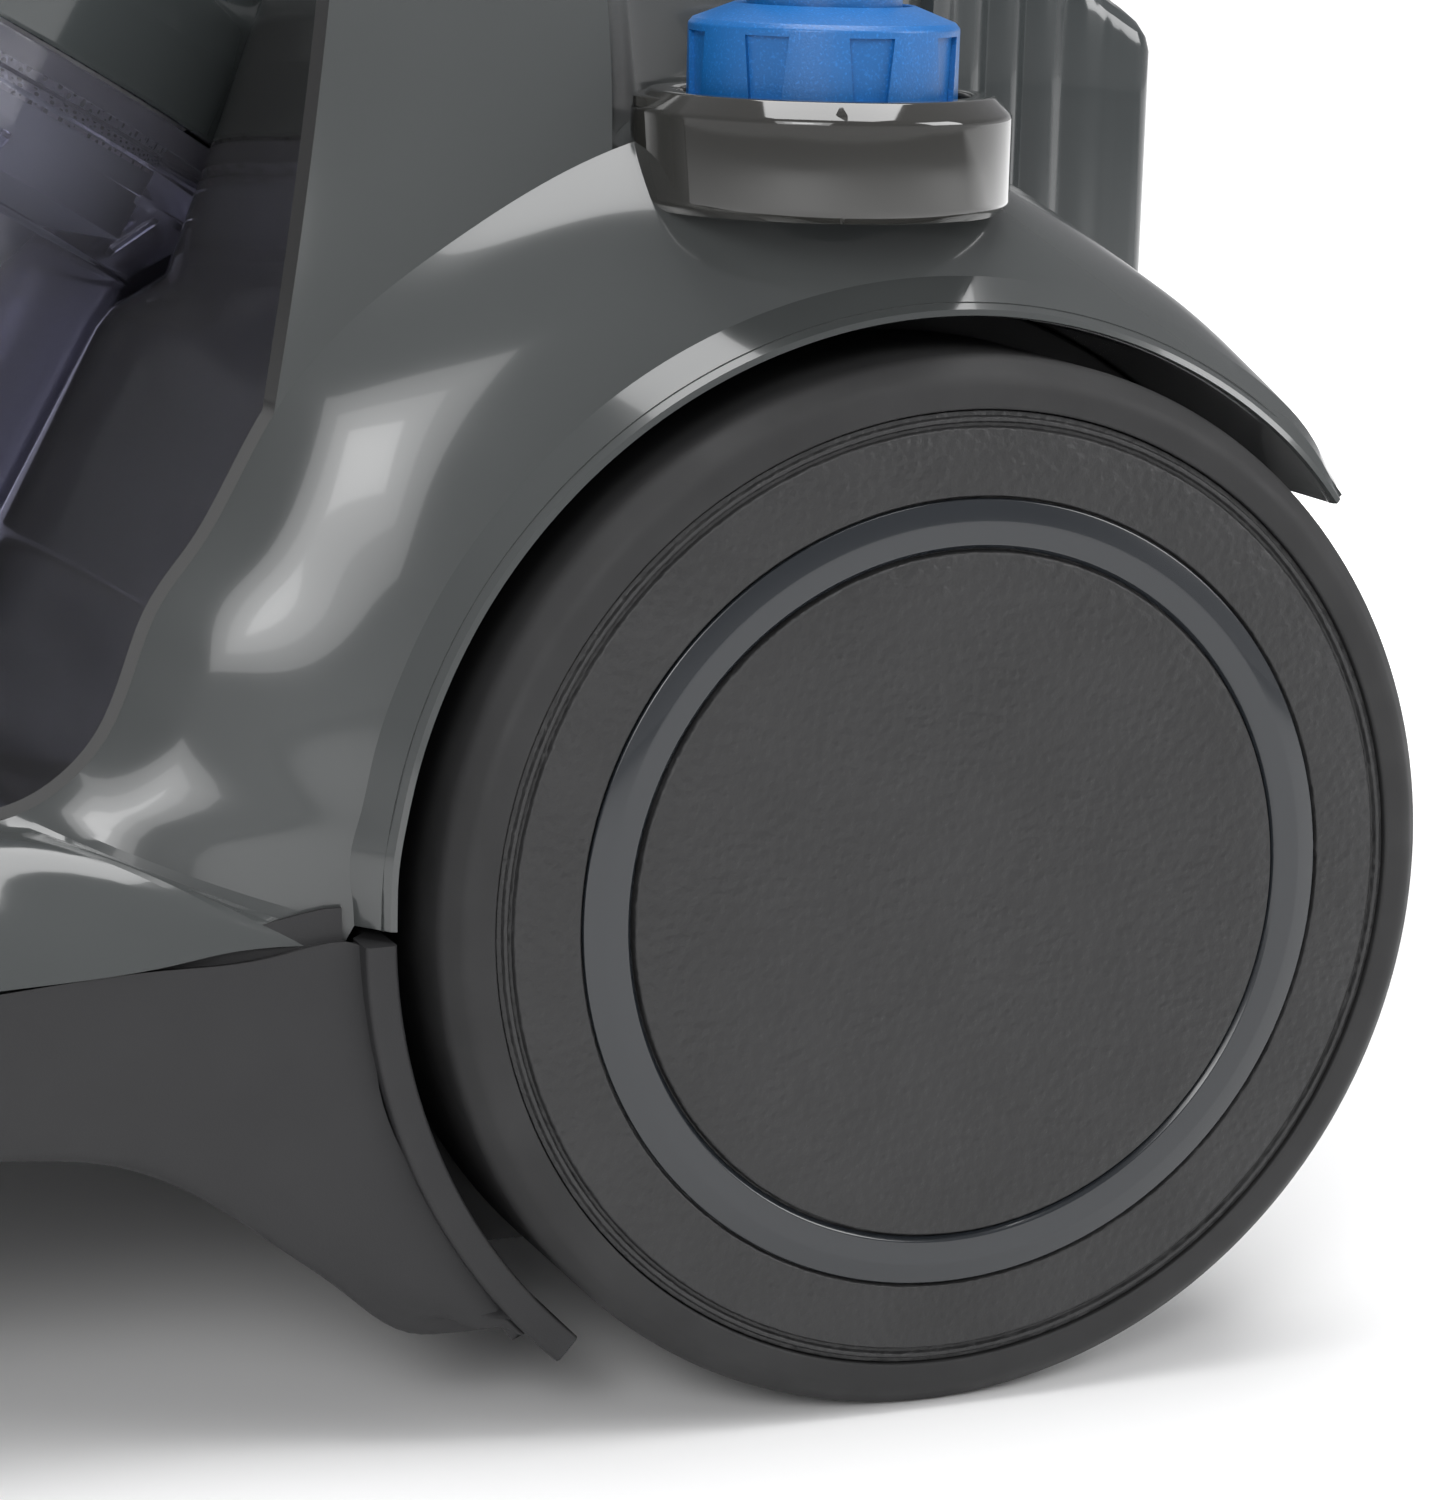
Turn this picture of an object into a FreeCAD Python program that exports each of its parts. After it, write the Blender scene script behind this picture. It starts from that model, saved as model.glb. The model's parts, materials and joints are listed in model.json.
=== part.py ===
import os
import re

import FreeCAD
import Part
import Sketcher
from FreeCAD import Placement, Rotation, Vector

# Canister vacuum cleaner. Millimetres, +Z up, front towards -Y, +X is the machine's left side.
# The origin lies on the floor, under the middle of the machine's box.
# "Lean" coordinates follow the dust bin: their z runs up the bin's tilted axis from bin_y, bin_z,
# and their -y side is the upper front side of the bin.

DIMENSIONS = {
    "wheel_radius": 83, "axle_y": 117, "axle_z": 83,
    "wheel_inner_x": 97, "wheel_face_x": 141, "tyre_depth": 8, "hub_bore": 4.05, "axle_radius": 4,
    "trim_inner": 54, "trim_outer": 61.8, "well_x": 92,
    "lip_inner": 88.6, "lip_outer": 94, "lip_face_x": 134.8, "lip_edge_x": 128,
    "crease_radius": 123, "crease_x": 108, "tail_y": 184.7, "tail_z": 141.8,
    "seam_z": 80.8, "seam_y": 28, "nose_seam_z": 66.8, "nose_y": -198, "rear_y": 194,
    "side_x": 134.8, "belly_z": 17.5, "front_belly_z": 50.7, "wall": 3,
    "lean_angle": 28.3, "bin_y": -72.4, "bin_z": 123.5,
    "bin_radius": 65, "bin_wall": 2.5, "bin_base": -34, "flare_start": 81, "collar_start": 91,
    "collar_radius": 72, "collar_top": 104.8, "lid_gap": 0.3, "cap_top": 137.5,
    "cradle_gap": 1.5, "cradle_wall": 2.5,
    "hinge_out": 75.5, "hinge_radius": 4.5, "hinge_pin": 2, "hinge_relief": 5.3,
    "deck_z": 239, "sill_z": 97.3, "shoulder_x": 86,
    "housing_x": 52, "housing_front": 140, "housing_back": 188, "housing_top": 208.5,
    "pod_x": 113.1, "pod_y": 101.5, "pod_radius": 29, "pod_rim": 203.7, "pod_base": 186,
    "pod_bore": 22.6, "post_radius": 14, "knob_radius": 20.7, "button_radius": 11.8,
    "inlet_z": 77, "inlet_bore": 19, "inlet_outer": 23.5, "duct_outer": 19, "duct_bore": 17,
    "caster_y": -135, "caster_radius": 20, "caster_trail": 14, "caster_width": 22,
    "motor_y": 90, "motor_z": 125, "motor_radius": 48, "shaft_radius": 4,
    "reel_y": 116, "reel_z": 26, "reel_radius": 66, "reel_height": 40,
    "door_x": 45, "door_low": 94, "door_high": 188, "door_y": 189.3, "door_depth": 3,
    "air_z": 198, "screw_radius": 2, "screw_head": 4, "running_gap": 0.05,
}

WORD = re.compile(r"[a-z_]+[a-z]")


def make_sheet(doc):
    """The spreadsheet of driving dimensions: name, value and alias on each row."""
    sheet = doc.addObject("Spreadsheet::Sheet", "dims")
    for row, (alias, amount) in enumerate(DIMENSIONS.items(), start=1):
        sheet.set("A%d" % row, alias)
        sheet.set("B%d" % row, str(amount))
        sheet.setAlias("B%d" % row, alias)
    doc.recompute()
    return sheet


doc = FreeCAD.newDocument("canister_vacuum")
dims = make_sheet(doc)
nodes = []


def bound(text):
    """The expression with each dimension's name pointed at the sheet."""
    def point(match):
        word = match.group(0)
        return "dims." + word if word in DIMENSIONS else word
    return WORD.sub(point, str(text))


def amount(text):
    """The expression's present value."""
    return float(dims.evalExpression(bound(text)))


def bind(obj, **properties):
    """Tie properties of an object to expressions of the sheet's dimensions."""
    for name, text in properties.items():
        obj.setExpression(name, bound(text))
    return obj


def place(obj, x="0", y="0", z="0", axis=(0, 0, 1), angle=0):
    """Put an object at a bound position, turned by a fixed angle about an axis."""
    obj.Placement = Placement(Vector(0, 0, 0), Rotation(Vector(*axis), angle))
    obj.setExpression("Placement.Base.x", bound(x))
    obj.setExpression("Placement.Base.y", bound(y))
    obj.setExpression("Placement.Base.z", bound(z))
    return obj


def on_axle(obj, side):
    """Lay a turned piece along the rear axle: its height becomes the distance out to that side."""
    return place(obj, "0", "axle_y", "axle_z", (0, 1, 0), 90 * side)


def leaning(obj):
    """Stand a piece on the bin's tilted axis."""
    return place(obj, "0", "bin_y", "bin_z", (1, 0, 0), -dims.lean_angle)


def node(obj, name):
    """Name a finished sub-part; the name is its file's name too."""
    obj.Label = name
    nodes.append(obj)
    return obj


def sketch(body, role, loops, offset="0"):
    """Closed polygons on one of the body's own planes; each corner is a pair of expressions."""
    made = body.newObject("Sketcher::SketchObject", "outline")
    plane = next(o for o in body.Origin.OriginFeatures if o.Role == role)
    made.AttachmentSupport = (plane, [""])
    made.MapMode = "FlatFace"
    if offset != "0":
        made.setExpression("AttachmentOffset.Base.z", bound(offset))
    for loop in loops:
        first = made.GeometryCount
        corners = [Vector(amount(x), amount(y), 0) for x, y in loop]
        count = len(corners)
        for i, corner in enumerate(corners):
            made.addGeometry(Part.LineSegment(corner, corners[(i + 1) % count]))
        for i in range(count):
            made.addConstraint(Sketcher.Constraint("Coincident", first + i, 2, first + (i + 1) % count, 1))
        for i, corner in enumerate(corners):
            pin(made, first + i, "DistanceX", -2, corner.x, loop[i][0])
            pin(made, first + i, "DistanceY", -1, corner.y, loop[i][1])
    return made


def pin(made, line, kind, axis, value, text):
    """Fix one coordinate of a line's start: on the sketch's axis, or at a bound distance from it."""
    if abs(value) < 1e-9:
        made.addConstraint(Sketcher.Constraint("PointOnObject", line, 1, axis))
        return
    index = made.addConstraint(Sketcher.Constraint(kind, -1, 1, line, 1, value))
    made.setExpression("Constraints[%d]" % index, bound(text))


def new_body(name):
    return doc.addObject("PartDesign::Body", name)


def turned(name, outline, angle=360, middle=False):
    """A body turned about its own Z axis from (radius, height) corners."""
    body = new_body(name)
    profile = sketch(body, "XZ_Plane", [outline])
    feature = body.newObject("PartDesign::Revolution", "turn")
    feature.Profile = profile
    feature.ReferenceAxis = (profile, ["V_Axis"])
    feature.Angle = angle
    feature.Midplane = middle
    body.Tip = feature
    return body


def padded(name, role, loops, length, offset="0", middle=False, reverse=False):
    """A body raised from one of its planes by a bound length."""
    body = new_body(name)
    profile = sketch(body, role, loops, offset)
    feature = body.newObject("PartDesign::Pad", "pad")
    feature.Profile = profile
    feature.SideType = "Symmetric" if middle else "One side"
    feature.Reversed = reverse
    bind(feature, Length=length)
    body.Tip = feature
    return body


def box(x0, x1, y0, y1, z0, z1, name="block"):
    """A block between bound corners."""
    made = doc.addObject("Part::Box", name)
    bind(made, Length="(%s) - (%s)" % (x1, x0), Width="(%s) - (%s)" % (y1, y0),
         Height="(%s) - (%s)" % (z1, z0))
    return place(made, x0, y0, z0)


def rod(radius, length, x="0", y="0", z="0", axis="Z", name="rod"):
    """A cylinder from a bound start point along +X, +Y or +Z."""
    made = doc.addObject("Part::Cylinder", name)
    bind(made, Radius=radius, Height=length)
    turn = {"X": ((0, 1, 0), 90), "Y": ((1, 0, 0), -90), "Z": ((0, 0, 1), 0)}[axis]
    return place(made, x, y, z, *turn)


def fuse(*pieces):
    made = doc.addObject("Part::MultiFuse", "fuse")
    made.Shapes = list(pieces)
    made.Refine = True
    return made


def common(*pieces):
    made = doc.addObject("Part::MultiCommon", "common")
    made.Shapes = list(pieces)
    return made


def cut(base, *tools):
    made = doc.addObject("Part::Cut", "cut")
    made.Base = base
    made.Tool = tools[0] if len(tools) == 1 else fuse(*tools)
    return made


def ring(name, inner, outer, low, high):
    """A plain ring about the body's Z axis."""
    return turned(name, [(inner, low), (outer, low), (outer, high), (inner, high)])


def mirrored(points):
    """A half outline on the +X side, completed by its mirror image."""
    return points + [("-(%s)" % x, y) for x, y in reversed(points) if x != "0"]


# ---- outlines of the casing ----

def plan_outline(inset="0"):
    """The casing seen from above, drawn in by an inset: a rounded nose, full width ahead of the wheels,
    and a narrower tail between them."""
    return mirrored([
        ("0", "nose_y + %s" % inset), ("40 - %s / 2" % inset, "nose_y + %s" % inset),
        ("76 - %s" % inset, "nose_y + 14 + %s" % inset), ("106 - %s" % inset,
                                                          "nose_y + 42 + %s / 2" % inset),
        ("124 - %s" % inset, "nose_y + 88"), ("side_x - 3 - %s" % inset, "nose_y + 150"),
        ("side_x - %s" % inset, "seam_y"), ("side_x - %s" % inset, "axle_y - 60 - %s" % inset),
        ("well_x - %s" % inset, "axle_y - 60 - %s" % inset), ("well_x - %s" % inset, "rear_y - 30"),
        ("well_x - 12 - %s" % inset, "rear_y - 6 - %s" % inset), ("60 - %s" % inset, "rear_y - %s" % inset),
        ("0", "rear_y - %s" % inset),
    ])


def plan_body(name, inset, low, high):
    return padded(name, "XY_Plane", [plan_outline(inset)], "(%s) - (%s)" % (high, low), low)


SEAM = [("rear_y + 20", "seam_z"), ("seam_y", "seam_z"), ("nose_y - 20", "nose_seam_z")]


def upper_side():
    """The upper casing seen from the side, above the seam: nose cowl, low sill beside the bin,
    steep edge behind it, deck, and the vertical tail."""
    return SEAM + [
        ("nose_y - 20", "84"), ("nose_y", "88"), ("nose_y + 14", "108"), ("nose_y + 46", "128"),
        ("nose_y + 84", "sill_z + 2"), ("seam_y - 53", "sill_z"), ("seam_y - 37", "sill_z + 12"),
        ("seam_y - 22", "138"), ("seam_y - 10", "158.5"), ("seam_y - 5", "202"), ("seam_y + 6",
                                                                                  "deck_z - 8"),
        ("seam_y + 26", "deck_z"), ("housing_front - 24", "deck_z - 1"), ("housing_back - 22",
                                                                          "housing_top + 12"),
        ("housing_back", "housing_top"), ("housing_back", "tail_z"), ("rear_y", "seam_z + 20"),
        ("rear_y", "seam_z"),
    ]


def upper_front():
    """The upper casing seen from the front: wide sills, then shoulders that lean inwards."""
    return mirrored([
        ("0", "belly_z"), ("side_x", "belly_z"), ("side_x", "seam_z + 4"), ("crease_x + 4", "sill_z"),
        ("crease_x + 1", "160"), ("shoulder_x", "deck_z - 4"), ("shoulder_x - 14", "deck_z + 2"),
        ("0", "deck_z + 4"),
    ])


def lower_side():
    """The chassis seen from the side, below the seam: flat tail, S-shaped rise, higher front belly."""
    return [
        ("nose_y - 20", "nose_seam_z"), ("seam_y", "seam_z"), ("rear_y + 20", "seam_z"),
        ("rear_y + 20", "belly_z + 22"), ("rear_y - 6", "belly_z + 8"), ("rear_y - 16", "belly_z"),
        ("seam_y + 5", "belly_z"), ("seam_y - 1", "belly_z + 3.5"), ("seam_y - 17", "belly_z + 16"),
        ("seam_y - 28", "belly_z + 24.2"), ("seam_y - 38", "belly_z + 29.4"), ("seam_y - 49",
                                                                               "belly_z + 32"),
        ("seam_y - 62", "front_belly_z"), ("nose_y + 20", "front_belly_z"), ("nose_y", "front_belly_z + 6"),
        ("nose_y - 20", "front_belly_z + 12"),
    ]


def both_sides(make):
    return [make(side) for side in (1, -1)]


def wheel_space(side):
    """The round space that a rear wheel turns in."""
    return on_axle(turned("wheel_space", [("0", "well_x"), ("lip_inner", "well_x"),
                                          ("lip_inner", "side_x + 20"), ("0", "side_x + 20")]), side)


def bin_space():
    """The room that the bin, its collar and its cap slide through."""
    return leaning(turned("bin_space", [
        ("0", "bin_base - 5.2"), ("bin_radius + cradle_gap + cradle_wall", "bin_base - 5.2"),
        ("bin_radius + cradle_gap + cradle_wall", "flare_start - 8"),
        ("collar_radius + cradle_gap + cradle_wall", "collar_start - 8"),
        ("collar_radius + cradle_gap + cradle_wall", "260"), ("0", "260")]))


# ---- casing ----

def make_chassis():
    side = padded("chassis_side", "YZ_Plane", [lower_side()], "2 * side_x + 2", middle=True)
    outer = common(plan_body("chassis_plan", "0", "belly_z", "seam_z + 2"), side)
    tail = common(plan_body("tail_room", "wall", "belly_z + wall", "seam_z + 2"),
                  box("-well_x", "well_x", "seam_y + 10", "rear_y", "belly_z", "seam_z + 2"))
    nose = common(plan_body("nose_room", "wall", "front_belly_z + wall", "seam_z + 2"),
                  box("-side_x", "side_x", "nose_y", "seam_y - 40", "belly_z", "seam_z + 2"))
    middle = box("-(well_x - 2)", "well_x - 2", "seam_y - 41", "seam_y + 11", "front_belly_z + wall",
                 "seam_z + 2")
    shell = cut(outer, tail, nose, middle, *both_sides(wheel_space))
    bosses = [rod("axle_radius + 6", "24", "well_x - 24" if s > 0 else "-well_x", "axle_y", "axle_z", "X")
              for s in (1, -1)]
    ribs = [box("well_x - 24" if s > 0 else "-well_x", "well_x" if s > 0 else "-(well_x - 24)",
                "axle_y - 4", "axle_y + 4", "belly_z + 1", "axle_z - 5") for s in (1, -1)]
    socket = rod("9", "6.8", "0", "caster_y", "front_belly_z")
    holes = [rod("axle_radius", "26", "well_x - 25" if s > 0 else "-(well_x + 1)", "axle_y", "axle_z", "X")
             for s in (1, -1)]
    holes += [rod("5 + running_gap", "12", "0", "caster_y", "front_belly_z - 1"),
              rod("7", "20", "40", "rear_y - 10", "50", "Y"),
              rod("inlet_outer", "20", "0", "nose_y - 1", "inlet_z", "Y"),
              rod("reel_radius + 1.5", "reel_height + 60", "0", "reel_y", "reel_z")]
    holes += screw_rods("screw_radius", "wall + 2", "belly_z - 1")
    node(cut(fuse(shell, *bosses, *ribs, socket), *holes), "chassis")


def screw_places():
    """Where the case screws stand: a row on each side of the tail."""
    return [(x, y) for x in ("74", "-74") for y in ("seam_y + 18", "axle_y - 40", "rear_y - 24")]


def screw_rods(radius, length, low):
    return [rod(radius, length, x, y, low) for x, y in screw_places()]


def make_screws():
    shanks = screw_rods("screw_radius", "14", "belly_z")
    heads = screw_rods("screw_head", "2", "belly_z + wall")
    group = doc.addObject("Part::Compound", "screws")
    group.Links = [fuse(shank, head) for shank, head in zip(shanks, heads)]
    node(group, "case_screws")


def arch_ring(side):
    """A fender: a ring about the axle, from the arch lip out to the crease and in to the well wall."""
    return on_axle(turned("arch", [
        ("lip_inner", "well_x - wall"), ("lip_inner", "lip_face_x"), ("lip_inner + 1.2", "lip_face_x"),
        ("lip_outer", "lip_edge_x"), ("lip_outer + 12", "lip_edge_x - 8"), ("lip_outer + 22",
                                                                            "lip_edge_x - 15"),
        ("crease_radius", "crease_x"), ("crease_radius", "well_x - wall")]), side)


def arch_room(side):
    """The hollow inside a fender's wall."""
    return on_axle(turned("arch_hollow", [
        ("lip_inner + wall", "well_x"), ("lip_inner + wall", "lip_face_x - 6"), ("lip_outer + 9",
                                                                                 "lip_edge_x - 11"),
        ("lip_outer + 19", "lip_edge_x - 18"), ("crease_radius - wall", "crease_x - 4"),
        ("crease_radius - wall", "well_x")]), side)


def above_tail():
    """All that lies over the falling tail of the fenders, outside the rear housing."""
    outline = [("axle_y - 12", "deck_z + 30"), ("axle_y - 12", "pod_base + 12"), ("axle_y + 10",
                                                                                  "pod_base + 5"),
               ("axle_y + 36", "175"), ("axle_y + 54", "161"), ("tail_y", "tail_z"), ("rear_y + 40",
                                                                                      "tail_z - 40"),
               ("rear_y + 40", "deck_z + 30")]
    return padded("above_tail", "YZ_Plane", [outline], "2 * side_x + 20", middle=True)


def make_upper_shell():
    side = padded("shell_side", "YZ_Plane", [upper_side()], "2 * side_x + 2", middle=True)
    front = padded("shell_front", "XZ_Plane", [upper_front()], "500", middle=True)
    hull = common(side, plan_body("shell_plan", "0", "nose_seam_z - 8", "deck_z + 10"), front)
    band = box("-side_x", "side_x", "axle_y - crease_radius", "tail_y", "seam_z", "deck_z")
    fenders = common(fuse(*both_sides(arch_ring)), band)
    tail_cut = cut(above_tail(), box("-(shoulder_x - 14)", "shoulder_x - 14", "0", "rear_y + 50", "seam_z",
                                     "deck_z + 40"))
    housing_room = box("-(housing_x)", "housing_x", "housing_front", "rear_y + 2", "seam_z - 1",
                       "deck_z + 10")
    pods = [rod("pod_radius + 4", "60", "%d * pod_x" % s, "pod_y", "pod_base + 18") for s in (1, -1)]
    pod_feet = [rod("pod_radius", "18", "%d * pod_x" % s, "pod_y", "pod_base") for s in (1, -1)]
    bay = padded("motor_bay", "YZ_Plane", [[
        ("seam_y - 20", "seam_z - 9"), ("seam_y - 16", "sill_z + 8"), ("seam_y + 6", "deck_z - 30"),
        ("seam_y + 16", "deck_z - 4"), ("housing_front - 24", "deck_z - 4"), ("housing_front",
                                                                              "deck_z - 14"),
        ("housing_front", "seam_z + 60"), ("rear_y - wall", "seam_z + 58"), ("rear_y - wall",
                                                                             "seam_z - 9")]],
        "2 * (shoulder_x - 17)", middle=True)
    wall_back = leaning(turned("cradle_backing", [
        ("0", "bin_base - 8"), ("bin_radius + cradle_gap + cradle_wall + 3", "bin_base - 8"),
        ("bin_radius + cradle_gap + cradle_wall + 3", "flare_start - 11"),
        ("collar_radius + cradle_gap + cradle_wall + 3", "collar_start - 11"),
        ("collar_radius + cradle_gap + cradle_wall + 3", "260"), ("0", "260")]))
    front_room = cut(plan_body("sill_room", "wall + 2", "nose_seam_z - 8", "seam_z + 6"),
                     box("-side_x", "side_x", "seam_y + 4", "rear_y + 9", "0", "deck_z"))
    nose_bore = rod("inlet_outer", "20", "0", "nose_y - 2", "inlet_z", "Y")
    duct_room = rod("duct_outer + 1", "120", "0", "nose_y + 10", "inlet_z", "Y")
    riser_room = leaning(turned("riser_room", [("0", "bin_base - 40"), ("duct_outer + 1", "bin_base - 40"),
                                               ("duct_outer + 1", "bin_base - 5"), ("0", "bin_base - 5")]))
    axle_rooms = [rod("axle_radius + 6.4", "25", "well_x - 24.5" if s > 0 else "-(well_x + 0.5)", "axle_y",
                      "axle_z", "X") for s in (1, -1)]
    cowl_room = padded("cowl_room", "YZ_Plane", [[
        ("nose_y + wall", "nose_seam_z - 8"), ("nose_y + wall", "86"), ("nose_y + 16", "104"),
        ("nose_y + 46", "123"), ("nose_y + 80", "sill_z - 4"), ("seam_y", "sill_z - 4"), ("seam_y",
                                                                                          "nose_seam_z - 8")]],
        "2 * (crease_x - 16)", middle=True)
    arch_rooms = common(fuse(*both_sides(arch_room)),
                        box("-side_x", "side_x", "0", "pod_y - pod_radius - 1", "seam_z - 1", "deck_z"))
    bay_clear = cut(fuse(bay, cowl_room), wall_back)
    button_hole = box("-16.3", "16.3", "85.7", "104.3", "deck_z - 12", "deck_z + 6")
    air_hole = rod("16", "40", "0", "seam_y + 20", "air_z", "Y")
    shell = cut(fuse(hull, fenders), tail_cut, housing_room, *pods, *pod_feet, bay_clear, front_room,
                bin_space(), *both_sides(wheel_space), nose_bore, duct_room, riser_room,
                button_hole, air_hole, arch_rooms, *axle_rooms)
    node(shell, "upper_shell")


def make_cradle():
    """The dark saddle behind and under the bin: a tilted half tube with a floor."""
    tube = leaning(turned("cradle_tube", [
        ("0", "bin_base - 5"), ("bin_radius + cradle_gap + cradle_wall", "bin_base - 5"),
        ("bin_radius + cradle_gap + cradle_wall", "flare_start - 8"),
        ("collar_radius + cradle_gap + cradle_wall", "collar_start - 8"),
        ("collar_radius + cradle_gap + cradle_wall", "cap_top + 22"),
        ("collar_radius + cradle_gap", "cap_top + 22"), ("collar_radius + cradle_gap", "collar_start - 8"),
        ("bin_radius + cradle_gap", "flare_start - 8"), ("bin_radius + cradle_gap", "bin_base - 2.5"),
        ("0", "bin_base - 2.5")]))
    open_front = lean_box("-100", "100", "-120", "16", "bin_base + 8", "260")
    port = leaning(turned("port", [("0", "bin_base - 9"), ("duct_bore", "bin_base - 9"),
                                   ("duct_bore", "bin_base + 1"), ("0", "bin_base + 1")]))
    under = box("-100", "100", "-200", "100", "0", "front_belly_z + wall")
    air_hole = rod("15", "60", "0", "seam_y + 10", "air_z", "Y")
    above = box("-100", "100", "0", "200", "deck_z - 1", "deck_z + 60")
    node(cut(tube, open_front, port, under, air_hole, above), "bin_cradle")


def make_rear_housing():
    """The upright column at the back: open behind for the exhaust filter."""
    outline = [("housing_front", "seam_z"), ("rear_y - 6", "seam_z"), ("housing_back + 1", "door_low - 6"),
               ("housing_back + 1", "housing_top - 1"), ("housing_back - 3", "housing_top + 1"),
               ("housing_back - 22", "housing_top + 12"), ("housing_front", "housing_top + 23")]
    column = padded("column", "YZ_Plane", [outline], "2 * housing_x", middle=True)
    room = box("-(housing_x - wall)", "housing_x - wall", "housing_front + wall", "housing_back - 24",
               "seam_z + wall", "housing_top + 4")
    filter_room = box("-(door_x - 1)", "door_x - 1", "housing_back - 25", "rear_y + 10", "door_low + 3",
                      "door_high")
    duct = box("-30", "30", "housing_front - 1", "housing_front + wall + 1", "100", "160")
    ears = [box("%s" % x0, "%s" % x1, "housing_back", "housing_back + 6", "door_low - 6", "door_low + 4")
            for x0, x1 in (("door_x + 1.5", "housing_x"), ("-housing_x", "-(door_x + 1.5)"))]
    bores = rod("2 + running_gap", "2 * housing_x + 2", "-(housing_x + 1)", "door_y + 1.7", "door_low", "X")
    swing = box("-(door_x + 1.5)", "door_x + 1.5", "housing_back - 0.2", "rear_y + 20", "door_low - 5",
                "door_low + 4")
    node(cut(fuse(column, *ears), room, filter_room, duct, bores, swing), "rear_housing")


def make_exhaust_door():
    panel = box("-door_x", "door_x", "door_y", "door_y + door_depth", "door_low", "door_high - 1")
    pin_rod = rod("2", "2 * (housing_x - 1)", "-(housing_x - 1)", "door_y + 1.7", "door_low", "X")
    slots = [box("-(door_x - 8)", "door_x - 8", "door_y - 1", "door_y + door_depth + 1",
                 "door_low + 12 + %d * 8" % i, "door_low + 16 + %d * 8" % i) for i in range(9)]
    node(fuse(cut(panel, *slots), pin_rod), "exhaust_door")
    node(box("-(door_x - 3)", "door_x - 3", "housing_back - 22", "housing_back - 3", "door_low + 6",
             "door_high - 4"), "exhaust_filter")


# ---- wheels ----

def make_wheel(side, label):
    rim = "wheel_radius - tyre_depth"
    hub = [("hub_bore", "wheel_inner_x"), ("12", "wheel_inner_x"), ("12", "wheel_inner_x + 18"),
           ("67", "wheel_inner_x + 18"), ("67", "wheel_inner_x + 3"), (rim, "wheel_inner_x + 3"),
           (rim, "wheel_face_x - 5"), ("67", "wheel_face_x - 5"), ("67", "wheel_inner_x + 21"),
           ("12", "wheel_inner_x + 21"), ("12", "wheel_face_x - 9"), ("hub_bore", "wheel_face_x - 9")]
    node(on_axle(turned("hub", hub), side), label + "_wheel_hub")
    tyre = [(rim, "wheel_inner_x + 3"), (rim, "wheel_inner_x + 1"), ("wheel_radius - 3",
                                                                     "wheel_inner_x + 1"),
            ("wheel_radius", "wheel_inner_x + 5"), ("wheel_radius", "wheel_face_x - 5.5"),
            ("wheel_radius - 1", "wheel_face_x - 3"), ("wheel_radius - 4", "wheel_face_x - 1.8"),
            (rim, "wheel_face_x - 1.7"), (rim, "wheel_face_x - 5")]
    node(on_axle(turned("tyre", tyre), side), label + "_tyre")
    cover = [("0", "wheel_face_x - 5"), (rim, "wheel_face_x - 5"), (rim, "wheel_face_x - 1.8"),
             (rim + " - 1.4", "wheel_face_x - 2.3"), (rim + " - 2", "wheel_face_x - 1.4"),
             ("trim_outer", "wheel_face_x - 0.5"), ("trim_outer", "wheel_face_x - 2.5"),
             ("trim_inner", "wheel_face_x - 2.5"), ("trim_inner", "wheel_face_x - 0.2"),
             ("trim_inner - 2", "wheel_face_x"), ("0", "wheel_face_x + 0.6")]
    node(on_axle(turned("cover", cover), side), label + "_wheel_cover")
    trim = [("trim_inner", "wheel_face_x - 2.5"), ("trim_outer", "wheel_face_x - 2.5"),
            ("trim_outer", "wheel_face_x - 0.6"), ("trim_outer - 2.6", "wheel_face_x - 0.1"),
            ("trim_inner + 0.6", "wheel_face_x - 0.3"), ("trim_inner", "wheel_face_x - 0.9")]
    node(on_axle(turned("trim", trim), side), label + "_wheel_trim")
    axle = [("0", "well_x - 23"), ("axle_radius", "well_x - 23"), ("axle_radius", "wheel_face_x - 8.5"),
            ("axle_radius + 3", "wheel_face_x - 8.5"), ("axle_radius + 3", "wheel_face_x - 6"), ("0",
                                                                                                 "wheel_face_x - 6")]
    node(on_axle(turned("axle", axle), side), label + "_axle")


def make_caster():
    reach = "caster_radius + 24"
    stem = place(turned("stem", [
        ("0", reach), ("17", reach), ("17", reach + " + 4"), ("5", reach + " + 4"),
        ("5", "front_belly_z + 6"), ("0", "front_belly_z + 6")]), "0", "caster_y", "0")
    legs = [box(x0, x1, "caster_y - 4", "caster_y + caster_trail + 6", "caster_radius - 6", reach)
            for x0, x1 in (("caster_width / 2 + 1.5", "caster_width / 2 + 5"),
                           ("-(caster_width / 2 + 5)", "-(caster_width / 2 + 1.5)"))]
    axle_hole = rod("2.5", "60", "-30", "caster_y + caster_trail", "caster_radius", "X")
    node(cut(fuse(stem, *legs), axle_hole), "caster_fork")
    node(rod("2.5", "caster_width + 10", "-(caster_width / 2 + 5)", "caster_y + caster_trail",
             "caster_radius", "X"),
         "caster_pin")
    wheel = turned("caster_disc", [
        ("2.5 + running_gap", "-(caster_width / 2)"), ("caster_radius - 3", "-(caster_width / 2)"),
        ("caster_radius", "-(caster_width / 2 - 3)"), ("caster_radius", "caster_width / 2 - 3"),
        ("caster_radius - 3", "caster_width / 2"), ("2.5 + running_gap", "caster_width / 2")])
    node(place(wheel, "0", "caster_y + caster_trail", "caster_radius", (0, 1, 0), 90), "caster_wheel")


# ---- dust bin and lid ----

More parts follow.
